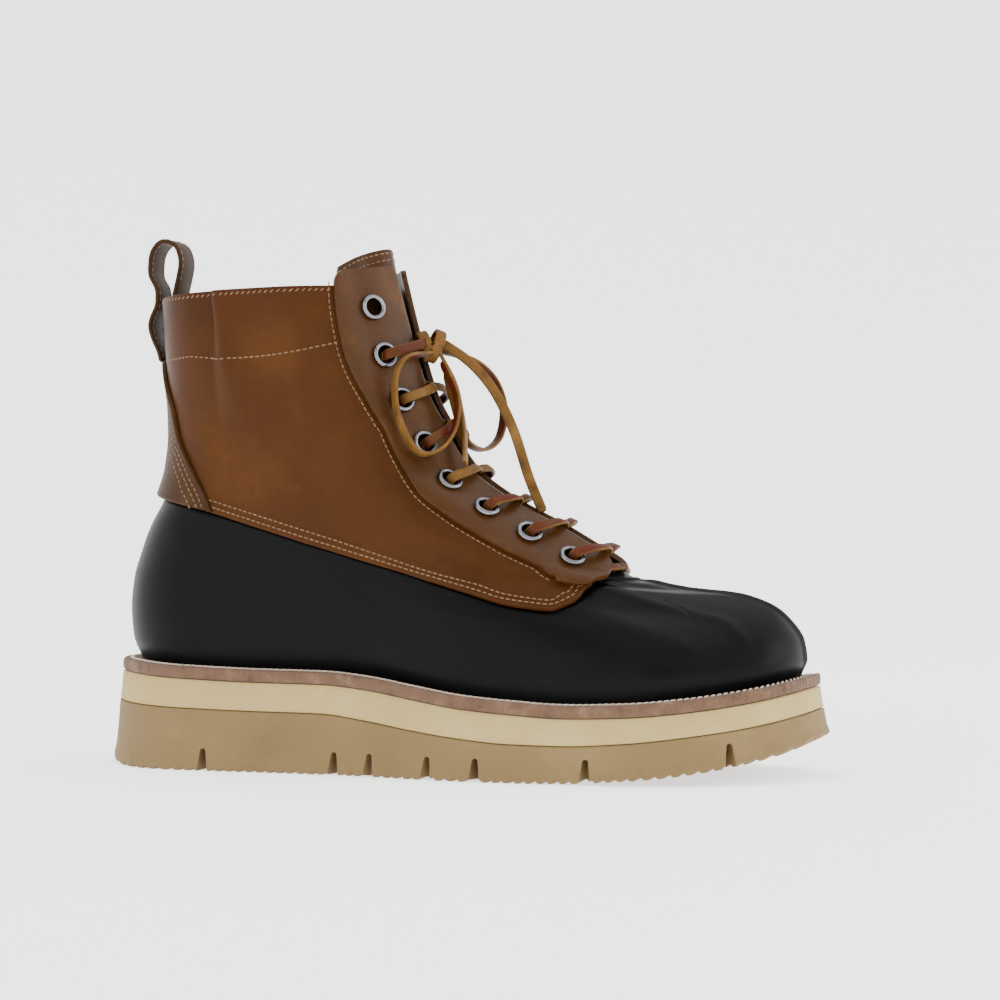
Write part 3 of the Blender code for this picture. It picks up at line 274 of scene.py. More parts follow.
    def place(self, level: Array, turn: Array, lift: Array | float = 0.0) -> Array:
        """Points of the surface at a lift along its normals."""
        lift = np.asarray(lift, float)[..., None]
        return self.read(self.table, level, turn) + lift * self.normal(level, turn)

    def normal(self, level: Array, turn: Array) -> Array:
        """Outward normals of the surface."""
        return unit(self.read(self.normals, level, turn))

    def half_girth(self, level: Array) -> Array:
        """Length of the lateral half of a ring."""
        return np.interp(level, self.levels, self.girths)

    def locate(self, x_share: float, rise: float) -> tuple[float, float]:
        """Level and turn of a place given in side view on the lateral side.

        Args:
            x_share: Place along the length as a share.
            rise: Height as a rise.

        Returns:
            Level and turn.
        """
        x = x_share * self.length - self.origin[0]
        z = self.base + self.rise(rise)
        half = self.turn_steps // 2
        lateral = self.table[:, half:]
        heights = np.array([np.interp(x, row[::-1, 0], row[::-1, 2]) for row in lateral])
        level = float(np.interp(z, heights, self.levels))
        turns = np.linspace(0.0, 1.0, half + 1)
        row = self.read(self.table, np.full(half + 1, level), turns)
        return level, float(np.interp(x, row[::-1, 0], turns[::-1]))

    def spaced(self, places: Array, at: Array) -> Array:
        """Resample places at shares of their length on the surface.

        Args:
            places: Levels and turns of a line.
            at: Shares of its length.

        Returns:
            Levels and turns at the shares.
        """
        places = np.asarray(places, float)
        fine = pchip(np.linspace(0, 1, len(places)), places, np.linspace(0, 1, 12 * len(places)))
        run = lengths(self.place(fine[:, 0], fine[:, 1]))
        return np.stack([np.interp(at * run[-1], run, fine[:, k]) for k in range(2)], axis=1)

    def span(self, places: Array) -> float:
        """Length of a line of places on the surface."""
        places = np.asarray(places, float)
        fine = pchip(np.linspace(0, 1, len(places)), places, np.linspace(0, 1, 12 * len(places)))
        return float(lengths(self.place(fine[:, 0], fine[:, 1]))[-1])


def patch(bottom: Array, top: Array, front: Array, back: Array, b: Array, a: Array) -> Array:
    """Places between four edges.

    Args:
        bottom: Places along the lower edge, from front to back.
        top: Places along the upper edge.
        front: Places up the front edge.
        back: Places up the back edge.
        b: Shares of the rows.
        a: Shares of the columns.

    Returns:
        Rows of places from bottom to top.
    """
    b, a = b[:, None, None], a[None, :, None]
    edges = (1 - b) * bottom[None] + b * top[None] + (1 - a) * front[:, None] + a * back[:, None]
    return edges - ((1 - b) * ((1 - a) * bottom[0] + a * bottom[-1]) + b * ((1 - a) * top[0] + a * top[-1]))


LAST = Last()


def linear(hex_colour: str) -> tuple[float, float, float, float]:
    """An sRGB hex colour as a linear one."""
    values = [int(hex_colour[k:k + 2], 16) / 255 for k in (1, 3, 5)]
    return (*[v / 12.92 if v <= 0.04045 else ((v + 0.055) / 1.055)**2.4 for v in values], 1.0)


def add_node(tree: bpy.types.NodeTree, kind: str, settings: dict | None = None,
             links: dict | None = None) -> bpy.types.Node:
    """Add a node.

    Args:
        tree: The material's tree.
        kind: The node's type name.
        settings: Values by property or input name.
        links: Output sockets by input name.

    Returns:
        The node.
    """
    made = tree.nodes.new(kind)
    for name, value in (settings or {}).items():
        if isinstance(name, str) and hasattr(made, name):
            setattr(made, name, value)
        else:
            made.inputs[name].default_value = value
    for name, socket in (links or {}).items():
        tree.links.new(socket, made.inputs[name])
    return made


def ramp(tree: bpy.types.NodeTree, socket: bpy.types.NodeSocket, stops: list) -> bpy.types.NodeSocket:
    """Colour ramp over a socket; stops are (place, hex colour) rows.

    Args:
        tree: Node tree of the material.
        socket: Value that the ramp reads.
        stops: Rows of place and hex colour.

    Returns:
        The ramp's colour.
    """
    made = add_node(tree, "ShaderNodeValToRGB", links={"Fac": socket})
    made.color_ramp.interpolation = "EASE"
    while len(made.color_ramp.elements) < len(stops):
        made.color_ramp.elements.new(0.5)
    for element, (place, colour) in zip(made.color_ramp.elements, stops):
        element.position, element.color = place, linear(colour)
    return made.outputs["Color"]


class Pattern(Enum):
    """How a finish's surface was made."""

    PULL_UP = "waxed leather, smooth with a fine hair cell grain"
    ROUGH_OUT = "unfinished leather, a rough cut edge"
    MOULDED = "moulded rubber, satin"
    CREPE = "moulded crumb rubber, matte"
    PLATED = "plated brass ring"
    THREAD = "twisted thread"
    RAWHIDE = "rawhide strip with a split back"


@dataclass(frozen=True)
class Finish:
    """One finish, from the real material's usual values."""

    name: str
    pattern: Pattern
    base: str
    dark: str
    light: str
    roughness: float
    mottle_mm: float = 30.0
    grain_mm: float = 0.9
    bump_mm: float = 0.06
    coat: float = 0.0
    metallic: float = 0.0
    back: str = ""
    ior: float = 1.5
    sheen: float = 0.0
    specular: float = 0.5
    glow: float = 0.0

    def material(self) -> bpy.types.Material:
        """The finish's material, made once.

        Returns:
            The material.
        """
        found = bpy.data.materials.get(self.name)
        if found:
            return found
        material = bpy.data.materials.new(self.name)
        material.use_nodes = True
        tree = material.node_tree
        shader = tree.nodes["Principled BSDF"]
        shader.inputs["Specular IOR Level"].default_value = self.specular
        if self.glow:  # studio paint, too even and too far off to show a pattern
            shader.inputs["Base Color"].default_value = linear(self.base)
            shader.inputs["Roughness"].default_value = self.roughness
            shader.inputs["Emission Color"].default_value = linear("#ffffff")
            shader.inputs["Emission Strength"].default_value = self.glow
            return material
        place = add_node(tree, "ShaderNodeTexCoord").outputs["Object"]
        mottle = add_node(tree, "ShaderNodeTexNoise", {"Scale": 1000 / self.mottle_mm, "Detail": 4.0,
                                                        "Roughness": 0.55}, {"Vector": place}).outputs["Fac"]
        grain = add_node(tree, "ShaderNodeTexNoise", {"Scale": 1000 / self.grain_mm, "Detail": 3.0,
                                                       "Roughness": 0.6}, {"Vector": place}).outputs["Fac"]
        colour = ramp(tree, mottle, [(0.25, self.dark), (0.5, self.base), (0.78, self.light)])
        if self.back:
            tone = add_node(tree, "ShaderNodeAttribute", {"attribute_name": "back"}).outputs["Fac"]
            back = ramp(tree, mottle, [(0.3, self.back), (0.8, self.dark)])
            colour = add_node(tree, "ShaderNodeMix", {"data_type": "RGBA"},
                              {0: tone, 6: colour, 7: back}).outputs[2]
        speck = add_node(tree, "ShaderNodeMapRange", {"From Min": 0.35, "From Max": 0.7, "To Min": 0.88,
                                                       "To Max": 1.08}, {"Value": grain}).outputs["Result"]
        colour = add_node(tree, "ShaderNodeMix", {"data_type": "RGBA", "blend_type": "MULTIPLY", 0: 1.0},
                          {6: colour, 7: speck}).outputs[2]
        tree.links.new(colour, shader.inputs["Base Color"])
        rough = add_node(tree, "ShaderNodeMapRange", {"To Min": self.roughness - 0.07, "To Max":
                                                       self.roughness + 0.09}, {"Value": mottle}).outputs["Result"]
        tree.links.new(rough, shader.inputs["Roughness"])
        shader.inputs["Metallic"].default_value = self.metallic
        if not self.metallic:
            shader.inputs["IOR"].default_value = self.ior
        shader.inputs["Coat Weight"].default_value = self.coat
        shader.inputs["Coat Roughness"].default_value = 0.28
        shader.inputs["Sheen Weight"].default_value = self.sheen
        height = self.relief(tree, place, grain)
        bump = add_node(tree, "ShaderNodeBump", {"Strength": 1.0, "Distance": self.bump_mm / 1000},
                        {"Height": height})
        tree.links.new(bump.outputs["Normal"], shader.inputs["Normal"])
        return material

    def relief(self, tree: bpy.types.NodeTree, place: bpy.types.NodeSocket,
               grain: bpy.types.NodeSocket) -> bpy.types.NodeSocket:
        """Height of the surface's small relief.

        Args:
            tree: Node tree of the material.
            place: Object coordinates.
            grain: Fine noise.

        Returns:
            Height for the bump.
        """
        if self.pattern in (Pattern.PULL_UP, Pattern.RAWHIDE):
            cells = add_node(tree, "ShaderNodeTexVoronoi", {"Scale": 1000 / (self.grain_mm * 1.3)},
                             {"Vector": place}).outputs["Distance"]
            return add_node(tree, "ShaderNodeMath", {"operation": "ADD"}, {0: grain, 1: cells}).outputs[0]
        return grain


# Oiled full grain cowhide: a warm brown that pales where it bends, with a soft wax gloss
QUARTER_LEATHER = Finish("waxed_cowhide_quarter", Pattern.PULL_UP, "#3c2008", "#321a06", "#482a0d", 0.42, 46.0,
                         0.8, 0.04, 0.0, specular=0.07)
# The same hide, paler and more handled
TRIM_LEATHER = Finish("waxed_cowhide_trim", Pattern.PULL_UP, "#3b220b", "#2f1a08", "#4e3115", 0.36, 26.0, 0.7,
                      0.04, 0.0, specular=0.12)
LOOP_LEATHER = Finish("waxed_cowhide_loop", Pattern.PULL_UP, "#35210f", "#281809", "#483119", 0.48, 18.0, 0.7,
                      0.05, 0.0, specular=0.08)
# Natural rubber with carbon black, from a satin mould: a dull sheen, no clear reflections
SHELL_RUBBER = Finish("moulded_black_rubber", Pattern.MOULDED, "#060607", "#050506", "#09090a", 0.40, 60.0, 0.5,
                      0.012, 0.0, ior=1.52, specular=0.07)
# Vegetable tanned split with a rough cut edge
WELT_LEATHER = Finish("rough_cut_welt_leather", Pattern.ROUGH_OUT, "#5f4531", "#4a3223", "#7b5e48", 0.92, 7.0,
                      0.5, 0.35, sheen=0.08)
# Crepe coloured blown rubber: matte, faintly dusty
MIDSOLE_RUBBER = Finish("blown_cream_rubber", Pattern.CREPE, "#a8905a", "#9d8550", "#b39d66", 0.72, 45.0, 0.6,
                        0.03)
OUTSOLE_RUBBER = Finish("khaki_crepe_rubber", Pattern.CREPE, "#6e572f", "#634c27", "#7b653b", 0.74, 50.0, 0.6,
                        0.04)
INSOLE_BOARD = Finish("insole_leather_board", Pattern.ROUGH_OUT, "#7b5a3e", "#664830", "#8d6c4e", 0.85, 14.0,
                      0.7, 0.08)
# Nickel plated brass ring, tumbled: bright with a soft edge to its reflections
RING_METAL = Finish("nickel_plated_brass", Pattern.PLATED, "#727277", "#5c5c61", "#8a8a90", 0.24, 6.0, 0.8, 0.01,
                    metallic=1.0)
THREAD = Finish("waxed_polyester_thread", Pattern.THREAD, "#6a4e2e", "#553c22", "#826442", 0.6, 3.0, 0.3, 0.05)
WELT_THREAD = Finish("natural_linen_thread", Pattern.THREAD, "#cbb8a4", "#b19c88", "#ded0c0", 0.75, 3.0, 0.3,
                     0.06)
# Rawhide strip: tan grain side and a redder dyed back
LACE_HIDE = Finish("rawhide_lace", Pattern.RAWHIDE, "#5c3f18", "#432b0e", "#765427", 0.5, 9.0, 0.5, 0.06, 0.0,
                   back="#4a0f05", specular=0.12)
FLOOR_PAINT = Finish("white_studio_floor", Pattern.MOULDED, "#f4f4f4", "#f4f4f4", "#f4f4f4", 0.9, 900.0, 50.0,
                     0.001, glow=1.3)


def nothing_selected() -> None:
    """Leave edit mode and deselect everything."""
    if bpy.context.object and bpy.context.object.mode != "OBJECT":
        bpy.ops.object.mode_set(mode="OBJECT")
    bpy.ops.object.select_all(action="DESELECT")


def choose(piece: bpy.types.Object) -> None:
    """Select one piece and make it active."""
    nothing_selected()
    piece.select_set(True)
    bpy.context.view_layer.objects.active = piece


def apply_all(piece: bpy.types.Object) -> None:
    """Apply every modifier of a piece."""
    choose(piece)
    for name in [change.name for change in piece.modifiers]:
        bpy.ops.object.modifier_apply(modifier=name)


def dress(piece: bpy.types.Object, finish: Finish, replaces: tuple[str, ...] = (),
          angle: float = 42.0) -> bpy.types.Object:
    """Shade a piece, give it its finish and let it ride.

    Args:
        piece: The finished mesh.
        finish: Its finish.
        replaces: CAD nodes that it stands for.
        angle: Faces that meet at a sharper angle, in degrees, keep a hard edge.

    Returns:
        The piece.
    """
    choose(piece)
    bpy.ops.object.shade_smooth_by_angle(angle=math.radians(angle))
    piece.data.materials.clear()
    piece.data.materials.append(finish.material())
    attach(piece, "root")
    if replaces:
        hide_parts(*replaces)
    LOG.info("%s: %d faces", piece.name, len(piece.data.polygons))
    return piece


def sheet(name: str, outer: Array, inner: Array, closed: bool = False) -> bpy.types.Object:
    """A wall between two grids of points. Their edges are rounded by lift, which Solidify would skew at corners.

    Args:
        name: Name of the piece.
        outer: Outer points as rows by columns by 3.
        inner: Inner points of the same shape.
        closed: Whether the last column joins the first.

    Returns:
        The piece.
    """
    rows, columns = outer.shape[:2]
    index = np.arange(rows * columns).reshape(rows, columns)
    right = np.roll(index, -1, axis=1) if closed else index[:, 1:]
    left = index if closed else index[:, :-1]
    front = np.stack([left[:-1], right[:-1], right[1:], left[1:]], axis=-1).reshape(-1, 4)
    back = front[:, ::-1] + rows * columns
    far = rows * columns
    rim = [np.stack([left[row], right[row], right[row] + far, left[row] + far], axis=-1) for row in (0, -1)]
    if not closed:
        rim += [np.stack([index[:-1, k], index[1:, k], index[1:, k] + far, index[:-1, k] + far], axis=-1)
                for k in (0, -1)]
    faces = np.concatenate([front, back, *rim]).tolist()
    return mesh_piece(name, np.concatenate([outer.reshape(-1, 3), inner.reshape(-1, 3)]), faces)


def mesh_piece(name: str, points: Array, faces: list) -> bpy.types.Object:
    """A closed mesh from points and faces, with its normals out.

    Args:
        name: Name of the object and its mesh.
        points: Places of the corners.
        faces: Corner numbers of each face.

    Returns:
        The new object.
    """
    mesh = bpy.data.meshes.new(name)
    mesh.from_pydata([Vector(p) for p in points], [], faces)
    body = bmesh.new()
    body.from_mesh(mesh)
    bmesh.ops.recalc_face_normals(body, faces=body.faces)
    body.to_mesh(mesh)
    body.free()
    piece = bpy.data.objects.new(name, mesh)
    bpy.context.collection.objects.link(piece)
    return piece


class Side(Enum):
    """Sides of the boot."""

    LATERAL = 1
    MEDIAL = -1


@dataclass
class Sole:
    """Outsole, midsole, welt and insole board, drawn outwards from the feather edge."""

    welt_reach: float = 0.008
    welt_lap: float = 0.006
    slope: float = 0.0014
    flare: float = 0.0026
    shell_wall: float = 0.0025
    insole: float = 0.004
    notch_height: float = 0.0095
    notch_top: float = 0.0026
    notch_foot: float = 0.0056
    notch_depth: float = 0.012
    notches: tuple[float, ...] = (0.180, 0.371, 0.429, 0.512, 0.575, 0.722, 0.884)
    groove_pitch: float = 0.0046
    groove_width: float = 0.0024
    groove_depth: float = 0.0011
    stitch_pitch: float = 0.0027
    side_count: int = 560

    def __post_init__(self) -> None:
        """Sample the feather edge in plan with its outward directions, from the toe round the lateral side."""
        even = np.linspace(0.0, 1.0, self.side_count)
        turns = 0.6 * even + 0.4 * (1 - np.cos(math.pi * even)) / 2
        around = np.concatenate([turns, -turns[1:-1][::-1]])
        self.plan = LAST.read(LAST.table, 0.0 * around, around)[:, :2]
        run = np.roll(self.plan, -1, axis=0) - np.roll(self.plan, 1, axis=0)
        out = unit(np.stack([-run[:, 1], run[:, 0]], axis=1))
        out *= np.where((out * self.plan).sum() > 0, 1.0, -1.0)
        for _ in range(4):
            out = unit(np.roll(out, 1, axis=0) + 2 * out + np.roll(out, -1, axis=0))
        self.out = out
        self.foot = self.welt_reach + self.slope + self.flare

    def loop(self, reach: Array | float, column: int, rise: Array | float = 0.0) -> Array:
        """Outline at a reach from the feather edge, at a rise above a sole layer; column 4 is the welt's top.

        Args:
            reach: Reach from the feather edge.
            column: Sole layer.
            rise: Rise above the layer.

        Returns:
            Points of the outline.
        """
        plan = self.plan + self.out * np.broadcast_to(np.asarray(reach, float), (len(self.plan),))[:, None]
        x = plan[:, 0] + LAST.origin[0]
        z = LAST.welt_top(x) if column == 4 else LAST.sole_height(column, x)
        return np.column_stack([plan, z + rise])

    def stack(self, name: str, loops: list[Array]) -> bpy.types.Object:
        """A solid from outlines, closed below the first and above the last.

        Args:
            name: Name of the piece.
            loops: Outlines of the same count.

        Returns:
            The piece.
        """
        count, side = len(self.plan), self.side_count
        faces = [(base + k, base + (k + 1) % count, base + count + (k + 1) % count, base + count + k)
                 for base in range(0, count * (len(loops) - 1), count) for k in range(count)]
        for base in (0, count * (len(loops) - 1)):
            for k in range(side - 1):
                corners = (base + k, base + k + 1, base + (count - k - 1) % count, base + (count - k) % count)
                faces.append(tuple(dict.fromkeys(corners)))
        return mesh_piece(name, np.concatenate(loops), faces)

    def groove(self) -> Array:
        """Depth of the tread's cross grooves round the outline.

        Returns:
            Depth at each point of the outline.
        """
        x = self.plan[:, 0]
        off = np.abs((x / self.groove_pitch) % 1.0 - 0.5) * self.groove_pitch
        inside = np.clip(1 - (off / (self.groove_width / 2))**2, 0.0, 1.0)
        return self.groove_depth * np.sqrt(inside)

    def outsole(self) -> None:
        """Outsole with a flared wall, a grooved tread and tapered side notches."""
        groove = self.groove()
        half = (LAST.sole_height(2, self.plan[:, 0] + LAST.origin[0])
                - LAST.sole_height(1, self.plan[:, 0] + LAST.origin[0]))
        top = self.welt_reach + self.slope
        piece = self.stack("outsole_tread", [
            self.loop(self.foot - 0.0010, 1, groove), self.loop(self.foot - 0.0002, 1, groove + 0.0003),
            self.loop(self.foot, 1, groove + 0.0010), self.loop(top + 0.58 * self.flare, 1, 0.30 * half),
            self.loop(top + 0.28 * self.flare, 1, 0.60 * half), self.loop(top + 0.08 * self.flare, 1, 0.88 * half),
            self.loop(top, 2, -0.0004), self.loop(top - 0.0004, 2, 0.0)])
        cutters = [self.notch(share, side) for share in self.notches for side in Side]
        nothing_selected()
        for cutter in cutters:
            cutter.select_set(True)
        bpy.context.view_layer.objects.active = cutters[0]
        bpy.ops.object.join()
        cutter = bpy.context.object
        cut = piece.modifiers.new("notches", "BOOLEAN")
        cut.object, cut.operation, cut.solver = cutter, "DIFFERENCE", "EXACT"
        apply_all(piece)
        bpy.data.objects.remove(cutter)
        dress(piece, OUTSOLE_RUBBER, ("outsole",), 35.0)

    def notch(self, share: float, side: Side) -> bpy.types.Object:
        """Cutter of one side notch, with a round top and a wider foot.

        Args:
            share: Place along the outsole's length.
            side: Side of the boot.

        Returns:
            The cutter.
        """
        x = share * (LAST.length + 2 * LAST.sole_overhang) - LAST.sole_overhang - LAST.origin[0]
        half = range(self.side_count) if side is Side.LATERAL else range(self.side_count, len(self.plan))
        nearest = min(half, key=lambda k: abs(self.plan[k, 0] - x))
        place = self.loop(self.foot, 1)[nearest]
        out = self.out[nearest]
        shoulder = self.notch_height - self.notch_top / 2
        profile = [(-self.notch_foot / 2, -0.003), (-self.notch_top / 2, shoulder)]
        profile += [(-self.notch_top / 2 * math.cos(a), shoulder + self.notch_top / 2 * math.sin(a))
                    for a in np.linspace(0.3, math.pi - 0.3, 7)]
        profile += [(self.notch_top / 2, shoulder), (self.notch_foot / 2, -0.003)]
        run = np.array([-out[1], out[0]])
        count = len(profile)
        points = [[*(place[:2] + depth * out + across * run), place[2] + up]
                  for depth in (-self.notch_depth, self.notch_depth) for across, up in profile]
        faces = [tuple(range(count)), tuple(range(2 * count - 1, count - 1, -1))]
        faces += [(k, count + k, count + (k + 1) % count, (k + 1) % count) for k in range(count)]
        return mesh_piece("notch", np.array(points), faces)

    def midsole(self) -> None:
        """Midsole with softened edges, stepped up inside the welt."""
        gap, top, inside = LAST.gap, self.welt_reach, -self.welt_lap - LAST.gap
        piece = self.stack("midsole_layer", [
            self.loop(top + self.slope - 0.0005, 2, gap), self.loop(top + self.slope, 2, gap + 0.0005),
            self.loop(top + 0.6 * self.slope, 2, 0.0035), self.loop(top + 0.0002, 3, -0.0008),
            self.loop(top - 0.0006, 3), self.loop(inside, 3), self.loop(inside, 4)])
        dress(piece, MIDSOLE_RUBBER, ("midsole",))

    def welt(self) -> None:
        """Welt strip with a rough cut edge."""
        count = len(self.plan)
        random = np.random.default_rng(7)
        rough = np.repeat(random.normal(0.0, 0.00013, count // 2), 2)[:count]
        reach = self.welt_reach
        under, top = LAST.gap, 4
        loops = [self.loop(reach - 0.0006, 3, under), self.loop(reach + rough, 3, under + 0.0006),
                 self.loop(reach + 0.0002 + rough, 3, under + 0.0025), self.loop(reach - 0.0001 + rough, top, -0.0006),
                 self.loop(reach - 0.0009, top, 0.0), self.loop(-self.welt_lap, top, 0.0),
                 self.loop(-self.welt_lap, 3, under)]
        points = np.concatenate(loops)
        total = len(loops)
        faces = [(row * count + k, row * count + (k + 1) % count, ((row + 1) % total) * count + (k + 1) % count,
                  ((row + 1) % total) * count + k) for row in range(total) for k in range(count)]
        dress(mesh_piece("welt_strip", points, faces), WELT_LEATHER, ("welt",), 60.0)
        line = self.loop(0.0042, 4, 0.0003)
        line = line[np.r_[0:count, 0]]
        run = lengths(line)
        at = np.arange(0.0, run[-1], self.stitch_pitch)
        centres = np.stack([np.interp(at, run, line[:, k]) for k in range(3)], axis=1)
        along = unit(np.stack([np.interp(at + 0.001, run, line[:, k]) for k in range(3)], axis=1) - centres)
        up = np.tile([0.0, 0.0, 1.0], (len(at), 1))
        side = np.cross(up, along)
        slanted = unit(along + 0.75 * side)
        thread = stitch_mesh("welt_stitches", centres, slanted, up, 0.0030, 0.0009)
        dress(thread, WELT_THREAD)

    def board(self) -> None:
        """Insole board inside the shell."""
        reach = -self.shell_wall - 3 * LAST.gap
        piece = self.stack("insole_board", [
            self.loop(reach, 4, LAST.gap), self.loop(reach, 4, LAST.gap + self.insole - 0.0008),
            self.loop(reach - 0.0008, 4, LAST.gap + self.insole)])
        dress(piece, INSOLE_BOARD, ("insole",))

    def build(self) -> None:
        """Build the whole sole."""
        self.outsole()
        self.midsole()
        self.welt()
        self.board()


def stitch_mesh(name: str, centres: Array, along: Array, up: Array, length: float, width: float
                ) -> bpy.types.Object:
    """One mesh of sewn stitches.

    Args:
        name: Name of the piece.
        centres: Middle of each stitch.
        along: Direction of each.
        up: Outward direction at each.
        length: Length of a stitch.
        width: Thickness of the thread.

    Returns:
        The piece.
    """
    sides, rings = 6, ((-0.46, 0.62, -0.35), (-0.25, 1.0, 0.0), (0.25, 1.0, 0.0), (0.46, 0.62, -0.35))
    side = unit(np.cross(up, along))
    shape, faces = [], []
    for place, size, sink in rings:
        for k in range(sides):
            angle = 2 * math.pi * k / sides
            shape.append((place * length, math.cos(angle) * size * width / 2,
                          (math.sin(angle) * size * 0.8 + sink) * width / 2))
    shape += [(-0.5 * length, 0.0, -0.35 * width), (0.5 * length, 0.0, -0.35 * width)]
    for ring in range(len(rings) - 1):
        for k in range(sides):
            a, b = ring * sides + k, ring * sides + (k + 1) % sides
            faces.append((a, a + sides, b + sides, b))
    last = (len(rings) - 1) * sides
    for k in range(sides):
        faces.append((k, (k + 1) % sides, len(shape) - 2))
        faces.append((last + (k + 1) % sides, last + k, len(shape) - 1))
    shape = np.array(shape)
    points = (centres[:, None] + shape[None, :, :1] * along[:, None] + shape[None, :, 1:2] * side[:, None]
              + shape[None, :, 2:] * up[:, None])
    every = [tuple(corner + k * len(shape) for corner in face) for k in range(len(centres)) for face in faces]
    return mesh_piece(name, points.reshape(-1, 3), every)


@dataclass
class SewnRows:
    """Rows of stitches collected on the upper and made as one mesh."""

    name: str
    pitch: float = 0.0025
    length: float = 0.0019
    width: float = 0.0006
    centres: list[Array] = field(default_factory=list)
    along: list[Array] = field(default_factory=list)
    up: list[Array] = field(default_factory=list)

    def add(self, places: Array, lift: float, slant: float = 0.0, relief: Callable | None = None) -> None:
        """Sew a row along places of the surface, on both sides of the boot.

        Args:
            places: Rows of level and turn on the lateral side.
            lift: Lift of the surface that it lies on.
            slant: How much the stitches lean across the row.
            relief: Gives the piece's own relief at places, which the stitches follow.
        """
        span = LAST.span(places)
        count = max(2, int(span / self.pitch))
        at = (np.arange(count) + 0.5) / count
        fine = LAST.spaced(places, at)
        raised = lift + (relief(fine[:, None])[:, 0] if relief else 0.0)
        for side in Side:
            turned = fine * [1.0, side.value]
            centre = LAST.place(turned[:, 0], turned[:, 1], raised)
            up = LAST.normal(turned[:, 0], turned[:, 1])
            run = unit(np.gradient(centre, axis=0))
            lean = unit(run + slant * np.cross(up, run))
            self.centres.append(centre)
            self.along.append(lean)
            self.up.append(up)

    def add_points(self, centre: Array, up: Array, slant: float = 0.0) -> None:
        """Sew a row at given points.

        Args:
            centre: Middles of the stitches.
            up: Normals there.
            slant: Lean of the stitches.
        """
        run = unit(np.gradient(centre, axis=0))
        self.centres.append(centre)
        self.along.append(unit(run + slant * np.cross(up, run)))
        self.up.append(up)

    def build(self, slot: str) -> None:
        """Make the mesh of all rows."""
        piece = stitch_mesh(self.name, np.concatenate(self.centres), np.concatenate(self.along),
                            np.concatenate(self.up), self.length, self.width)
        dress(piece, THREAD)


def beside(places: Array, distance: float) -> Array:
    """Places moved sideways on the surface, to the left of their run for a rising distance.

    Args:
        places: Rows of level and turn.
        distance: How far to move them.

    Returns:
        The moved rows.
    """
    places = np.asarray(places, float)
    here = LAST.place(places[:, 0], places[:, 1])
    by_level = (LAST.place(places[:, 0] + 0.02, places[:, 1])
                - LAST.place(places[:, 0] - 0.02, places[:, 1])) / 0.04
    by_turn = (LAST.place(places[:, 0], places[:, 1] + 0.004)
               - LAST.place(places[:, 0], places[:, 1] - 0.004)) / 0.008
    run = unit(np.gradient(here, axis=0))
    aside = np.cross(LAST.normal(places[:, 0], places[:, 1]), run) * distance
    moved = []
    for place, a, b, step in zip(places, by_level, by_turn, aside):
        share = np.linalg.lstsq(np.stack([a, b], axis=1), step, rcond=None)[0]
        moved.append(place + share)
    return np.array(moved)


def near(points: Array, line: Array) -> Array:
    """Distance of each point of a grid from a line of points.

    Args:
        points: Grid of points.
        line: Points of the line, close together.

    Returns:
        Distances in the grid's shape.
    """
    flat = points.reshape(-1, 3)
    best = np.full(len(flat), 1.0)
    for place in line:
        best = np.minimum(best, np.linalg.norm(flat - place, axis=1))
    return best.reshape(points.shape[:2])


def panel(name: str, places: Array, base: float, thickness: float, radius: float, edges: str = "lrbt",
          relief: Array | float = 0.0) -> bpy.types.Object:
    """A wall cut from the upper's surface, with rounded outer edges.

    Args:
        name: Name of the piece.
        places: Rows by columns of level and turn.
        base: Lift of its inner face.
        thickness: Its wall.
        radius: Radius of its outer edges.
        edges: Which edges are rounded: l first column, r last column, b first row, t last row.
        relief: Lift added to both faces.

    Returns:
        The piece.
    """
    level, turn = places[..., 0], places[..., 1]
    flat = LAST.place(level, turn, base + thickness)
    along_rows = np.concatenate([np.zeros_like(flat[:1, :, 0]),
                                 np.cumsum(np.linalg.norm(np.diff(flat, axis=0), axis=2), axis=0)])
    along_columns = np.concatenate([np.zeros_like(flat[:, :1, 0]),
                                    np.cumsum(np.linalg.norm(np.diff(flat, axis=1), axis=2), axis=1)], axis=1)
    distance = np.full(level.shape, 1.0)
    if "b" in edges:
        distance = np.minimum(distance, along_rows)
    if "t" in edges:
        distance = np.minimum(distance, along_rows[-1:] - along_rows)
    if "l" in edges:
        distance = np.minimum(distance, along_columns)
    if "r" in edges:
        distance = np.minimum(distance, along_columns[:, -1:] - along_columns)
    wall = thickness - edge_drop(distance, radius)
    return sheet(name, LAST.place(level, turn, base + wall + relief), LAST.place(level, turn, base + relief))


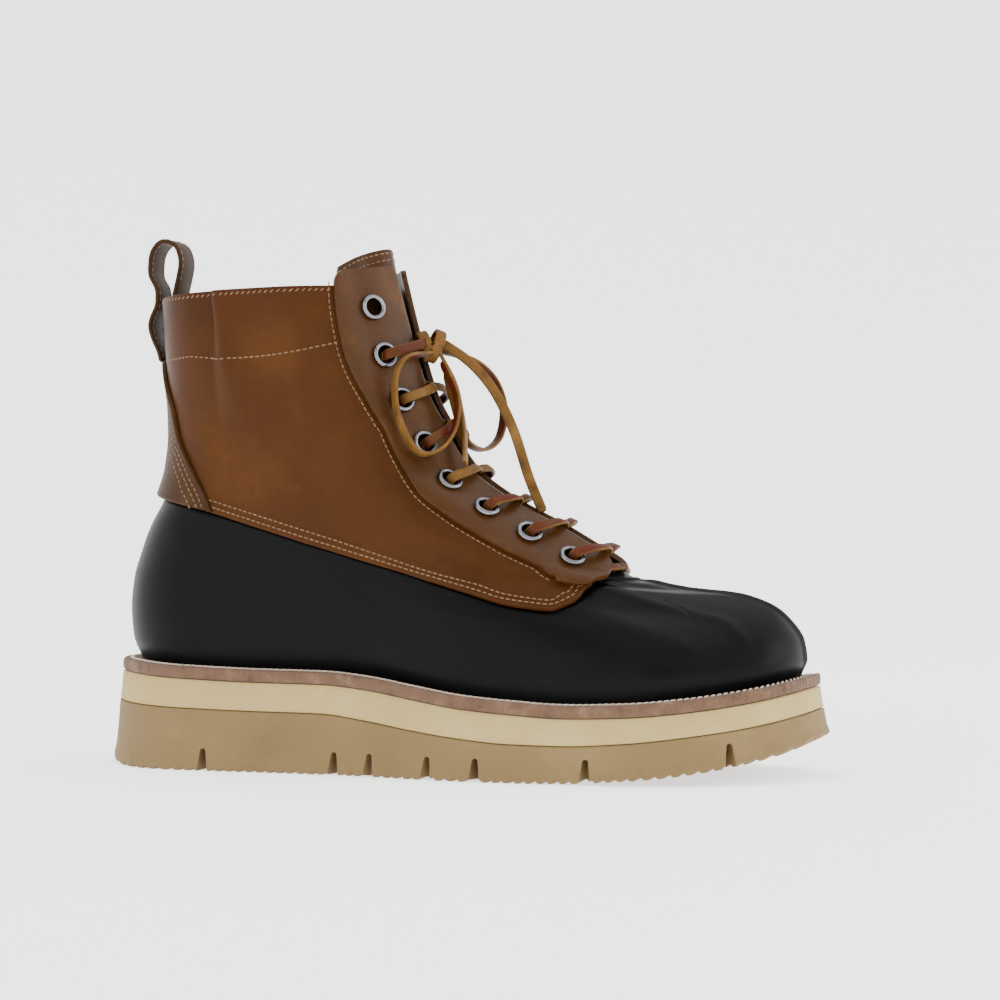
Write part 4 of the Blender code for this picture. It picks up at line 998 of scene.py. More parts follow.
@dataclass
class Edges:
    """Cut lines of the upper that several pieces share."""

    collar: float = 13.0
    throat: float = 8.4
    seam_share: float = 0.36
    leather: tuple[tuple[float, float], ...] = (
        (0.718, 0.345), (0.699, 0.258), (0.667, 0.230), (0.611, 0.252), (0.563, 0.292), (0.489, 0.355),
        (0.441, 0.398), (0.339, 0.483), (0.251, 0.558), (0.159, 0.634), (0.117, 0.668), (0.036, 0.711),
    )
    eyestay: tuple[tuple[float, ...], ...] = (
        (8.10, 0.0045, 0.697, 0.308), (8.60, 0.0045, 0.640, 0.402), (9.50, 0.0045, 0.563, 0.516),
        (10.40, 0.0045, 0.494, 0.645), (11.30, 0.0045, 0.436, 0.832), (12.00, 0.0045, 0.383, 1.195),
        (12.50, 0.0045, 0.352, 1.550), (13.00, 0.0050, 0.336, 1.950), (13.35, 0.0055, 0.333, 2.130),
    )
    stay_back: tuple[tuple[float, float], ...] = (
        (0.0560, 1.520), (0.0660, 1.380), (0.0840, 1.190), (0.1000, 0.958), (0.1190, 0.855), (0.1370, 0.762),
        (0.1560, 0.640),
    )

    def __post_init__(self) -> None:
        """Turn the edges, given in side view, into levels and turns."""
        lower = [LAST.locate(*row) for row in self.leather]
        lower[-1] = (lower[-1][0], 1.0)
        self.lower = np.array(lower)
        rows = pchip(np.linspace(0, 1, len(self.eyestay)), self.eyestay, np.linspace(0, 1, 60))
        self.stay_front = np.array([(level, girth / float(LAST.half_girth(level))) for level, girth, *_ in rows])
        self.stay_rear = np.array([LAST.locate(x, rise) for *_, x, rise in rows])
        self.backstay = np.array([LAST.locate(x, rise) for x, rise in self.stay_back])


EDGES = Edges()
LEATHER, TRIM, STAY = 0.0020, 0.0026, 0.0022
STAY_TOP = TRIM + STAY


def on_both(build: Callable) -> None:
    """Build a piece for the lateral side and for the medial one."""
    for side in Side:
        build(side)


@dataclass
class RubberShell:
    """Moulded shell with a ridge down the vamp, ribs beside it and a ribbed band at the back of the heel."""

    wall: float = 0.0025
    step: float = 0.0011
    step_levels: float = 0.15
    lap: float = 0.009
    tip_margin: float = 0.02
    throat_step: float = 0.9
    ridge: tuple[tuple[float, float], ...] = ((8.2, 0.0), (0.5, 0.0))
    ridge_height: float = 0.0012
    ridge_width: float = 0.0014
    ribs: tuple[tuple[tuple[float, float], ...], ...] = (
        ((7.4, 0.118), (6.3, 0.150), (5.1, 0.180), (4.2, 0.160), (3.7, 0.125), (3.3, 0.100), (2.5, 0.100)),
        ((6.6, 0.330), (5.2, 0.300), (3.9, 0.280), (3.4, 0.240), (2.9, 0.210), (2.5, 0.180), (1.8, 0.170)),
    )
    rib_heights: tuple[float, float] = (0.0007, 0.0006)
    band_pitch: float = 0.0022
    band_height: float = 0.00028
    rib_widths: tuple[float, float] = (0.0030, 0.0045)
    rows: int = 74
    half_columns: int = 170

    def rim(self, turn: Array) -> tuple[Array, Array]:
        """Levels of the step under the leather's edge and of the rim above it.

        Args:
            turn: Turns on the lateral side.

        Returns:
            The step's levels and the rim's.
        """
        lower = EDGES.lower.copy()
        lower[0] -= [self.step_levels, self.tip_margin]
        order = np.argsort(lower[:, 1])
        edge = np.interp(turn, lower[order, 1], lower[order, 0])
        rise = np.linalg.norm(LAST.place(edge + 0.5, turn) - LAST.place(edge - 0.5, turn), axis=1)
        top = np.minimum(edge + self.lap / rise, EDGES.throat)
        step = np.minimum(edge + self.step_levels / 2, EDGES.throat - 2 * self.step_levels)
        throat = turn < lower[:, 1].min()
        return (np.where(throat, EDGES.throat - self.throat_step, step), np.where(throat, EDGES.throat, top))

    def relief(self, level: Array, turn: Array, points: Array) -> Array:
        """Raised ridge, ribs and heel band.

        Args:
            level: Ring levels.
            turn: Turns.
            points: Places on the last.

        Returns:
            Lift of each place.
        """
        raised = np.zeros(level.shape)
        ridge = LAST.place(*np.array([(a, 0.0) for a in np.linspace(8.2, 0.4, 200)]).T)
        off = near(points, ridge)
        fade = np.clip((level - 0.3) / 0.8, 0, 1) * np.clip((7.5 - level) / 0.4, 0, 1)
        raised += self.ridge_height * np.exp(-(off / self.ridge_width)**2) * fade
        for rib, tall, wide in zip(self.ribs, self.rib_heights, self.rib_widths):
            line = LAST.spaced(np.array(rib), np.linspace(0, 1, 120))
            for side in Side:
                run = LAST.place(line[:, 0], line[:, 1] * side.value)
                fade = np.interp(level, (1.6, 2.3, 6.0, 7.2), (0, 1, 1, 0))
                raised += tall * np.exp(-(near(points, run) / wide)**2) * fade
        band = np.clip((np.abs(turn) - 0.93) / 0.012, 0, 1)
        ribbed = 0.5 + 0.5 * np.cos(points[..., 2] / self.band_pitch * 2 * math.pi)
        return raised + self.band_height * band * ribbed * np.interp(level, (0.2, 0.5, 4.6, 5.0), (0, 1, 1, 0))

    def build(self) -> None:
        """Build the shell."""
        even = np.linspace(0.0, 1.0, self.half_columns)
        turns = even * 0.75 + 0.25 * even**2.2
        around = np.concatenate([turns, -turns[1:-1][::-1]])
        step, top = self.rim(np.abs(around))
        rise = np.linspace(0.0, 1.0, self.rows - 6)[:, None]
        lower = (step - self.step_levels)[None] * rise
        middle = [step - 0.66 * self.step_levels, step - 0.33 * self.step_levels, step]
        upper = [step + (top - step) * share for share in (0.33, 0.66, 1.0)]
        level = np.concatenate([lower, middle, upper])
        turn = np.broadcast_to(around, level.shape)
        points = LAST.place(level, turn)
        lift = self.relief(level, turn, points)
        lift[-6:] = self.step * np.array([-0.3, -0.8, -1, -1, -1, -1])[:, None]
        ease = np.clip((level - (EDGES.throat - 1.5)) / 0.6, 0.0, 1.0)
        throat = np.abs(turn) < EDGES.lower[:, 1].min() - 0.01
        sunk = self.step * ease**2 * (3 - 2 * ease) * (lift > -0.0002)
        lift = np.where(throat, np.minimum(lift, self.ridge_height) - sunk, lift)
        outer, inner = LAST.place(level, turn, lift), LAST.place(level, turn, -self.wall)
        for face in (outer, inner):
            face[0, :, 2] = LAST.welt_top(face[0, :, 0] + LAST.origin[0]) + LAST.gap
        piece = sheet("shell_moulding", outer, inner, True)
        dress(piece, SHELL_RUBBER, ("rubber_shell",), 60.0)


@dataclass
class LeatherShaft:
    """Waxed leather quarters in one wrap, lapped over the shell and under the eyestays."""

    rows: int = 96
    columns: int = 150
    edge_radius: float = 0.0008
    roll_off: float = 0.0075
    roll_height: float = 0.0009
    roll_width: float = 0.0042
    dents: tuple[tuple[float, float, float, float], ...] = (
        (10.20, 0.77, 0.0100, -0.0011), (10.60, 0.60, 0.0085, -0.0010), (10.70, 0.46, 0.0080, -0.0008),
        (8.40, 0.68, 0.0130, -0.0009), (9.90, 0.44, 0.0070, -0.0007), (8.50, 0.38, 0.0080, -0.0007),
        (11.60, 0.66, 0.0120, 0.0008), (9.30, 0.60, 0.0140, 0.0009), (7.60, 0.52, 0.0140, 0.0007),
        (11.10, 0.34, 0.0090, 0.0007), (7.60, 0.80, 0.0120, 0.0006),
    )

    def places(self) -> Array:
        """Levels and turns of the lateral half, from its front edge to the back.

        Returns:
            Rows of levels and turns from bottom to top.
        """
        seam = EDGES.stay_rear + (EDGES.stay_front - EDGES.stay_rear) * EDGES.seam_share
        seam = seam[seam[:, 0] <= EDGES.collar]
        seam = np.vstack([seam, [EDGES.collar, seam[-1][1]]])
        seam = seam[seam[:, 0] >= EDGES.lower[0][0]]
        edge = np.vstack([seam[:1], EDGES.lower])
        across = np.linspace(0.0, 1.0, self.columns)
        up = shares(self.rows, 0.075, self.edge_radius)
        bottom = LAST.spaced(edge, across)
        top = np.column_stack([np.full(len(across), EDGES.collar), seam[-1][1] + (1 - seam[-1][1]) * across])
        front = LAST.spaced(seam, up)
        back = np.column_stack([bottom[-1][0] + (EDGES.collar - bottom[-1][0]) * up, np.ones(len(up))])
        return patch(bottom, top, front, back, up, across)

    def relief(self, places: Array) -> Array:
        """Soft dents and swells that wear and lasting leave.

        Args:
            places: Rows of levels and turns.

        Returns:
            Lift of each place.
        """
        points = LAST.place(places[..., 0], places[..., 1])
        raised = np.zeros(places.shape[:2])
        for level, turn, size, height in self.dents:
            centre = LAST.place(np.array([level]), np.array([turn]))
            raised += height * np.exp(-(near(points, centre) / size)**2)
        roll = beside(EDGES.stay_rear[6:50], self.roll_off)
        line = LAST.place(roll[:, 0], roll[:, 1])
        raised += self.roll_height * np.exp(-(near(points, line) / self.roll_width)**2)
        edge = LAST.place(*LAST.spaced(EDGES.lower, np.linspace(0, 1, 200)).T)
        off = near(points, edge)
        raised *= np.clip((off - 0.010) / 0.012, 0, 1)
        raised += 0.00028 * np.clip((0.0066 - off) / 0.0012, 0, 1)
        backstay = LAST.place(*LAST.spaced(EDGES.backstay, np.linspace(0, 1, 80)).T)
        stay = LAST.place(EDGES.stay_rear[:, 0], EDGES.stay_rear[:, 1])
        for covered in (backstay, stay):
            raised *= np.clip((near(points, covered) - 0.0012) / 0.003, 0, 1)
        inside = ((places[..., 1] > np.interp(places[..., 0], *EDGES.backstay[::-1].T))
                  & (places[..., 0] < EDGES.backstay[0][0]))
        front = places[..., 1] < np.interp(places[..., 0], *EDGES.stay_rear.T)
        return np.where(inside | front, 0.0, raised)

    def build(self) -> None:
        """Build the leather and its rows of stitches."""
        half = self.places()
        relief = self.relief(half)
        whole = np.concatenate([half, half[:, :-1][:, ::-1] * [1.0, -1.0]], axis=1)
        whole[:, self.columns:, 1] += 2.0
        relief = np.concatenate([relief, relief[:, :-1][:, ::-1]], axis=1)
        piece = panel("leather_quarters", whole, LAST.gap, LEATHER, self.edge_radius, "bt", relief)
        dress(piece, QUARTER_LEATHER, ("leather_shaft",), 60.0)
        self.sew()

    def sew(self) -> None:
        """Sew the rows that show on the quarters."""
        lift = LAST.gap + LEATHER + 0.0001
        rows = SewnRows("quarter_stitches")
        start = LAST.spaced(EDGES.lower, np.linspace(0.0, 0.93, 90))
        for off in (0.0023, 0.0047):
            rows.add(beside(start, -off), lift, relief=self.relief)
        collar = np.array([(EDGES.collar - 0.0, turn) for turn in np.linspace(0.20, 0.93, 40)])
        rows.add(beside(collar, 0.0017), lift - 0.0001, 0.8)
        facing = np.array([(10.9, .90), (11.8, .70), (12.2, .53), (12.4, .37), (12.5, .26)])
        rows.add(facing, lift, relief=self.relief)
        rows.add(beside(EDGES.stay_rear[4:57], 0.0016), lift, relief=self.relief)
        rows.build("leather_shaft")


@dataclass
class Backstay:
    """Backstay over the back seam, with a raised front edge."""

    thickness: float = 0.0014
    half_columns: int = 44
    rows: int = 60

    def build(self) -> None:
        """Build the backstay and its stitches."""
        edge = LAST.spaced(EDGES.backstay, shares(self.rows, 0.07, 0.0006))
        drop = EDGES.lower[-1][0] - edge[0][0]
        run = np.linspace(0.0, 1.0, len(edge))
        across = np.concatenate([[0.0, 0.002, 0.006, 0.014, 0.024], np.linspace(0.036, 1.0, self.half_columns)])
        half = np.zeros((len(edge), len(across), 2))
        for row, (level, turn) in enumerate(edge):
            middle = edge[0][0] + drop * run[row]
            half[row, :, 0] = level + (middle - level) * np.sin(across * math.pi / 2)
            half[row, :, 1] = turn + (1 - turn) * across
        whole = np.concatenate([half, half[:, :-1][:, ::-1] * [1.0, -1.0]], axis=1)
        whole[:, len(across):, 1] += 2.0
        lip = np.exp(-((across * 0.034 - 0.0012) / 0.0008)**2) * 0.00035
        relief = np.concatenate([lip, lip[:-1][::-1]])[None] * np.ones((len(edge), 1))
        piece = panel("backstay_leather", whole, TRIM, self.thickness, 0.0007, "lrbt", relief)
        dress(piece, LOOP_LEATHER, ("backstay",), 60.0)
        rows = SewnRows("backstay_stitches")
        line = EDGES.backstay
        for off, start, end in ((0.0030, 0.25, 0.96), (0.0052, 0.36, 0.95), (0.0080, 0.50, 0.94)):
            rows.add(beside(LAST.spaced(line, np.linspace(start, end, 40)), -off), TRIM + self.thickness)
        rows.build("leather_trim")


@dataclass
class Eyestays:
    """Eyestays with their rows of eyelets."""

    count: int = 8
    end_margin: float = 0.017
    top_margin: float = 0.0175
    outer: float = 0.0055
    hole: float = 0.0035
    barrel: float = 0.0040
    height: float = 0.0012
    standoff: float = 0.0010
    corner: float = 0.0045
    rows: int = 150
    columns: int = 22

    def seats(self) -> Array:
        """Levels and turns of the eyelets from the lowest to the top one.

        Returns:
            Level and turn of each eyelet.
        """
        middle = (EDGES.stay_front + EDGES.stay_rear) / 2
        run = lengths(LAST.place(middle[:, 0], middle[:, 1]))
        at = np.linspace(self.end_margin, run[-1] - self.top_margin, self.count)
        return np.stack([np.interp(at, run, middle[:, k]) for k in range(2)], axis=1)

    def grid(self) -> Array:
        """Levels and turns of the lateral eyestay, with its corners rounded in plan.

        Returns:
            Rows of levels and turns.
        """
        at = shares(self.rows, 0.155, 0.0008)
        front = np.stack([np.interp(at, np.linspace(0, 1, 60), EDGES.stay_front[:, k]) for k in range(2)], axis=1)
        rear = np.stack([np.interp(at, np.linspace(0, 1, 60), EDGES.stay_rear[:, k]) for k in range(2)], axis=1)
        points_front, points_rear = (LAST.place(line[:, 0], line[:, 1]) for line in (front, rear))
        width = np.linalg.norm(points_front - points_rear, axis=1)
        run = lengths((points_front + points_rear) / 2)
        inset = edge_drop(np.minimum(run, run[-1] - run), self.corner) * 0.8 / width
        across = shares(self.columns, 0.014, 0.0008)[None, :]
        share = inset[:, None] + (1 - 2 * inset[:, None]) * across
        return front[:, None] + (rear - front)[:, None] * share[..., None]

    def build(self) -> None:
        """Build both eyestays and their eyelets."""
        on_both(self.stay)
        on_both(self.rings)

    def stay(self, side: Side) -> None:
        """One eyestay with round holes.

        Args:
            side: Side of the boot.
        """
        name = side.name.lower()
        places = self.grid() * [1.0, side.value]
        piece = panel(f"eyestay_leather_{name}", places, TRIM, STAY, 0.0008)
        for level, turn in self.seats():
            centre = LAST.place(level, side.value * turn, STAY_TOP)
            out = Vector(LAST.normal(level, side.value * turn))
            nothing_selected()
            bpy.ops.mesh.primitive_cylinder_add(vertices=32, radius=self.barrel + 0.0003, depth=4 * STAY,
                                                location=centre, rotation=out.to_track_quat("Z", "Y").to_euler())
            drill = bpy.context.object
            cut = piece.modifiers.new("hole", "BOOLEAN")
            cut.object, cut.operation, cut.solver = drill, "DIFFERENCE", "EXACT"
            apply_all(piece)
            bpy.data.objects.remove(drill)
        dress(piece, TRIM_LEATHER, (f"eyestay_{name}",), 50.0)

    def rings(self, side: Side) -> None:
        """Domed eyelets of one side as one mesh.

        Args:
            side: Side of the boot.
        """
        name = side.name.lower()
        below = STAY + self.standoff - LAST.gap
        arc = np.linspace(0.0, math.pi, 11)
        middle, half = (self.outer + self.hole) / 2, (self.outer - self.hole) / 2
        profile = [(middle + half * math.cos(a), self.height * math.sin(a)**0.8) for a in arc]
        profile += [(self.hole + 0.0001, -below), (self.barrel, -below), (self.barrel, 0.0)]
        profile = np.array(profile)
        turned = 40
        points, faces = [], []
        for level, turn in self.seats():
            seat = LAST.place(level, side.value * turn, STAY_TOP + self.standoff)
            out = LAST.normal(level, side.value * turn)
            across = unit(np.cross(out, [0.0, 0.0, 1.0]))
            other = np.cross(out, across)
            base = len(points)
            for k in range(turned):
                angle = 2 * math.pi * k / turned
                ray = math.cos(angle) * across + math.sin(angle) * other
                points += [seat + radius * ray + rise * out for radius, rise in profile]
            size = len(profile)
            for k in range(turned):
                for step in range(size):
                    a, b = k * size + step, k * size + (step + 1) % size
                    c, d = ((k + 1) % turned) * size + (step + 1) % size, ((k + 1) % turned) * size + step
                    faces.append(tuple(base + corner for corner in (a, b, c, d)))
        piece = mesh_piece(f"eyelet_rings_{name}", np.array(points), faces)
        nodes = tuple(f"eyelet_{name}_{number}" for number in range(1, self.count + 1))
        dress(piece, RING_METAL, nodes, 60.0)


@dataclass
class Tongue:
    """Leather tongue behind the throat, its corners rounded above the collar."""

    thickness: float = 0.0022
    side_lift: float = -0.0030
    corner: float = 0.40
    table: tuple[tuple[float, float, float], ...] = (
        (7.80, 0.016, -0.0030), (8.60, 0.020, -0.0028), (9.50, 0.024, -0.0012), (10.50, 0.026, -0.0006),
        (11.50, 0.028, -0.0002), (12.30, 0.030, 0.0002), (13.00, 0.030, 0.0012), (13.80, 0.027, 0.0018),
    )

    def lines(self, at: Array, across: Array, inset: float = 0.0) -> tuple[Array, Array]:
        """Places and lifts of the tongue's face.

        Args:
            at: Shares up the tongue.
            across: Shares across it, from -1 to 1.
            inset: Levels taken off its height.

        Returns:
            Rows of level and turn, and their lifts.
        """
        rows = pchip(np.linspace(0, 1, len(self.table)), self.table, at)
        level, half, lift = rows[:, :1], rows[:, 1:2], rows[:, 2:]
        share = across[None, :]
        drop = self.corner * share**2 * np.maximum(0.0, (level - EDGES.collar) / (self.table[-1][0] - EDGES.collar))
        turn = share * half / LAST.half_girth(level)
        bulge = self.side_lift + (lift - self.side_lift) * np.cos(np.minimum(np.abs(share) * 1.9, 1) * math.pi / 2)**2
        return np.stack([level - drop - inset, turn], axis=-1), bulge

    def build(self) -> None:
        """Build the tongue and the two rows near its top."""
        at = shares(110, 0.13, 0.0009)
        across = 2 * shares(48, 0.056, 0.0009) - 1
        places, bulge = self.lines(at, across)
        piece = panel("tongue_leather", places, -self.thickness, self.thickness, 0.0009, "lrt", bulge)
        dress(piece, TRIM_LEATHER, ("tongue",), 60.0)
        rows = SewnRows("tongue_stitches")
        for inset in (0.10, 0.26):
            steps = np.linspace(-0.93, 0.93, 22)
            spots, lift = self.lines(np.array([1.0]), steps, inset)
            level, turn = spots[0, :, 0], spots[0, :, 1]
            rows.add_points(LAST.place(level, turn, lift[0]), LAST.normal(level, turn))
        rows.build("leather_trim")


def ribbon(name: str, path: Array, across: Array, width: float, thickness: float, outs: Array,
           red: Array | None = None, merge: list | None = None) -> bpy.types.Object | None:
    """A flat strip with rounded edges along a path.

    Args:
        name: Name of the piece.
        path: Points of its middle.
        across: Direction of its width at each point.
        width: Its width.
        thickness: Its thickness.
        outs: Outward direction at each point, which tells its outer face.
        red: How red its outer face is at each point, 0 or 1; the inner face is the other.
        merge: List that takes the points, faces and tones, to make one mesh of several strips later.

    Returns:
        The piece, or None where it went into the list.
    """
    run = unit(np.gradient(path, axis=0))
    side = unit(across - run * (across * run).sum(1, keepdims=True))
    face = np.cross(run, side)
    face *= np.sign((face * outs).sum(1, keepdims=True) + 1e-9)
    radius = min(thickness * 0.42, width * 0.3)
    profile, tone = [], []
    for cx, cz, start in ((1, 1, 0.0), (-1, 1, 0.5), (-1, -1, 1.0), (1, -1, 1.5)):
        for k in range(4):
            angle = math.pi * (start + k / 6)
            profile.append((cx * (width / 2 - radius) + radius * math.cos(angle),
                            cz * (thickness / 2 - radius) + radius * math.sin(angle)))
            tone.append(0.5 + 0.5 * np.sign(math.sin(angle)) if abs(math.sin(angle)) > 0.8 else -1.0)
    profile, tone = np.array(profile), np.array(tone)
    count, size = len(path), len(profile)
    shrink = np.ones(count)
    shrink[[0, -1]] = 0.72
    points = (path[:, None] + side[:, None] * profile[None, :, :1] * shrink[:, None, None]
              + face[:, None] * profile[None, :, 1:] * shrink[:, None, None])
    faces = [(row * size + k, row * size + (k + 1) % size,
              (row + 1) * size + (k + 1) % size, (row + 1) * size + k)
             for row in range(count - 1) for k in range(size)]
    faces += [tuple(range(size - 1, -1, -1)), tuple(range((count - 1) * size, count * size))]
    red = np.zeros(count) if red is None else red
    tones = np.where(tone[None] < 0, 0.0, np.where(tone[None] > 0.5, red[:, None], 1 - red[:, None]))
    if merge is not None:
        merge.append((points.reshape(-1, 3), faces, tones.reshape(-1)))
        return None
    return toned(name, [(points.reshape(-1, 3), faces, tones.reshape(-1))])


def toned(name: str, parts: list) -> bpy.types.Object:
    """One mesh of several strips, with the tone of their faces as an attribute.

    Args:
        name: Name of the joined piece.
        parts: Meshes of the ribbons with their tones.

    Returns:
        The joined object.
    """
    start, points, faces, tones = 0, [], [], []
    for part_points, part_faces, part_tones in parts:
        points.append(part_points)
        tones.append(part_tones)
        faces += [tuple(start + corner for corner in each) for each in part_faces]
        start += len(part_points)
    piece = mesh_piece(name, np.concatenate(points), faces)
    back = piece.data.attributes.new("back", "FLOAT", "POINT")
    back.data.foreach_set("value", np.concatenate(tones).astype(np.float32))
    return piece


def smooth_line(rows: Array, count: int, rounds: int = 0) -> Array:
    """Resample rows of numbers by the distance between their first three columns.

    Args:
        rows: The rows.
        count: How many to give back.
        rounds: How often the result is smoothed.

    Returns:
        The resampled rows.
    """
    run = lengths(rows[:, :3])
    fine = pchip(run, rows, np.linspace(0.0, run[-1], count))
    for _ in range(rounds):
        fine[1:-1] = (fine[:-2] + 2 * fine[1:-1] + fine[2:]) / 4
    return fine


@dataclass
class PullLoop:
    """Leather pull loop at the back of the collar."""

    width: float = 0.015
    thickness: float = 0.0018
    legs: tuple[tuple[float, float], ...] = (
        (10.75, 0.0), (11.1, 0.0006), (11.6, 0.0030), (12.1, 0.0042), (12.6, 0.0022), (12.9, 0.0002))
    inner: tuple[float, ...] = (12.95, 12.5, 12.0)

    def build(self) -> None:
        """Build the loop and the stitches along its edges."""
        outside = TRIM + 0.0014 + LAST.gap + self.thickness / 2
        inside = -(0.0014 + self.thickness / 2)
        back = LAST.place(EDGES.collar, 1.0)
        arch = [(-0.0001 - outside, 0.0045), (-0.0001 - outside - 0.0036, 0.0120), (-0.0001 - outside - 0.0030, 0.0200),
                (-0.0026, 0.0262), (0.0034, 0.0238), (0.0057, 0.0165), (0.0043, 0.0090)]
        rough = [LAST.place(level, 1.0, outside + bulge) for level, bulge in self.legs]
        rough += [back + np.array([x, 0.0, z]) for x, z in arch]
        rough += [LAST.place(level, 1.0, inside) for level in self.inner]
        path = smooth_line(np.array(rough), 110, 6)
        across = np.tile([0.0, 1.0, 0.0], (len(path), 1))
        run = unit(np.gradient(path, axis=0))
        outs = np.cross(run, across)
        outs *= -1.0 if outs[5, 0] > 0 else 1.0
        piece = ribbon("pull_loop_leather", path, across, self.width, self.thickness, outs)
        dress(piece, LOOP_LEATHER, ("pull_loop",), 60.0)
        rows = SewnRows("pull_loop_stitches", pitch=0.0027)
        at = np.arange(0.002, lengths(path)[-1] - 0.02, rows.pitch)
        steps = np.searchsorted(lengths(path), at)
        for edge in (-1, 1):
            for face in (1, -1):
                centre = (path + across * edge * (self.width / 2 - 0.0018) + outs * face * self.thickness / 2)[steps]
                rows.add_points(centre, outs[steps] * face)
        rows.build("leather_trim")


@dataclass
class Laces:
    """Flat rawhide lace: crossings through the eyelets, a knot, two loops and two ends."""

    width: float = 0.0043
    strap_width: float = 0.0042
    thickness: float = 0.0016
    knot_level: float = 12.52
    knot_forward: float = 0.0090
    tan_rows: tuple[int, ...] = (3, 5)
    stays: Eyestays = field(default_factory=Eyestays)

    def half(self, first: int) -> tuple[Array, Array, Array, Array]:
        """One half of the lace, from the bar at the lowest eyelets to the knot.

        Args:
            first: Side on which it starts, 1 or -1.

        Returns:
            Its path, directions of its width, outward directions and tones.
        """
        eyelets = self.stays.seats()
        over = STAY_TOP + self.stays.standoff + self.stays.height + LAST.gap + 0.0016 * 0.85
        under, bar = 0.0004, 0.0007
        path, across, outs, red = [], [], [], []

        def add(level: float, turn: float, lift: float, run: Array, tone: float) -> None:
            """Add a point of the path.

            Args:
                level: Ring level.
                turn: Turn.
                lift: Height above the last.
                run: Direction across the strip.
                tone: 1 where the red back shows.
            """
            out = LAST.normal(level, turn)
            side = np.cross(out, run)
            side = side * (1.0 if side @ np.array([-0.5, 0.0, 1.0]) > 0 else -1.0)
            path.append(LAST.place(level, turn, lift))
            across.append(unit(side))
            outs.append(out)
            red.append(tone)

        low_level, low_turn = eyelets[0]
        start_run = LAST.place(low_level, first * low_turn) - LAST.place(low_level, 0.0)
        for share, rise in ((-0.08 if first > 0 else -0.05, 0.0008), (0.30, 0.0004), (0.75, 0.0)):
            add(low_level, first * share * low_turn, bar + rise, start_run, 1.0)
        sign = first
        for row in range(self.stays.count - 1):
            level, turn = eyelets[row]
            tone = 0.0 if row in self.tan_rows else 1.0
            here = LAST.place(level, sign * turn)
            add(level, sign * turn * 0.98, bar if row == 0 else under + 0.0003, start_run, tone)
            add(level, sign * turn * 0.99, STAY_TOP * 0.55, start_run, tone)
            if row == self.stays.count - 2:
                break
            next_level, next_turn = eyelets[row + 1]
            run = LAST.place(next_level, -sign * next_turn) - here
            add(level, sign * turn * 0.97, over * 0.86, run, tone)
            for share, lift in ((0.12, over), (0.25, over), (0.37, over * 0.90), (0.44, over * 0.68),
                                (0.50, 0.0027 + 0.0004 * first * (1 if row % 2 else -1)),
                                (0.55, 0.0016), (0.60, 0.0003), (0.74, 0.0001), (0.88, under)):
                at = turn * (1 - 2 * share) if share <= 0.5 else -next_turn * (2 * share - 1)
                add(level + (next_level - level) * share, sign * at, lift, run, tone)
            start_run = run
            sign = -sign
        for share, lift in ((0.97, over * 0.86), (0.80, over), (0.55, over), (0.33, over * 1.04),
                            (0.145, over * 1.06)):
            rise = (1 - share) * (self.knot_level - level)
            add(level + rise, sign * turn * share, lift, here - LAST.place(self.knot_level, 0.0), tone)
        across, outs = np.array(across), np.array(outs)
        for _ in range(2):
            across[1:-1] = across[:-2] + 2 * across[1:-1] + across[2:]
            across = unit(across)
        return np.array(path), across, outs, np.array(red)

    def knot_centre(self) -> Array:
        """Middle of the knot."""
        return LAST.place(self.knot_level, 0.0) + np.array([self.knot_forward, 0.0, 0.0])

    def routes(self) -> dict[str, tuple[Array, int]]:
        """Routes of the free cords from the knot.

        Returns:
            Smoothed path of each cord, by name.
        """
        centre = self.knot_centre()
        rough = {
            "lace_loop_left": ((0.0018, -0.0040, -0.0034), (-0.0024, -0.0268, -0.0062), (-0.0068, -0.0266, -0.0136),
                               (-0.0060, -0.0285, -0.0250), (-0.0018, -0.0292, -0.0370), (0.0056, -0.0268, -0.0470),
                               (0.0116, -0.0204, -0.0440), (0.0158, -0.0140, -0.0340), (0.0153, -0.0090, -0.0240),
                               (0.0112, -0.0062, -0.0150), (0.0065, -0.0042, -0.0070)),
            "lace_loop_right": ((0.0032, 0.0022, -0.0020), (0.0138, 0.0128, -0.0050), (0.0212, 0.0262, -0.0150),
                                (0.0230, 0.0320, -0.0270), (0.0214, 0.0306, -0.0380), (0.0176, 0.0184, -0.0440),
                                (0.0152, 0.0006, -0.0400), (0.0116, -0.0014, -0.0260), (0.0062, 0.0030, -0.0110)),
            "lace_end_left": ((0.0048, -0.0010, -0.0036), (0.0122, -0.0022, -0.0170), (0.0156, -0.0040, -0.0300),
                              (0.0211, -0.0174, -0.0500)),
            "lace_end_right": ((0.0046, 0.0009, 0.0015), (0.0150, 0.0050, -0.0060), (0.0250, 0.0085, -0.0180),
                               (0.0336, 0.0098, -0.0350), (0.0416, 0.0080, -0.0570), (0.0486, 0.0031, -0.0700)),
        }
        return {name: smooth_line(centre + np.array(rows), 64, 6) for name, rows in rough.items()}

    def cords(self) -> None:
        """Loops and ends of the bow, each a free cord."""
        facing = {"lace_end_left": (0.9, 0.2, 0.35), "lace_end_right": (0.35, -0.9, 0.3)}
        for name, path in self.routes().items():
            if name in facing:
                outs = np.tile(facing[name], (len(path), 1))
                across = np.cross(np.gradient(path, axis=0), outs)
                red = np.full(len(path), 0.0)
            else:
                flat = np.linalg.svd(path - path.mean(0))[2][2]
                flat = flat * (1.0 if flat[1] < 0 else -1.0)
                across = np.tile(flat, (len(path), 1))
                outs = path - path.mean(0)
                red = np.zeros(len(path))
            piece = ribbon(f"{name}_strip", path, across, self.width, self.thickness, outs, red)
            dress(piece, LACE_HIDE, (name,), 50.0)

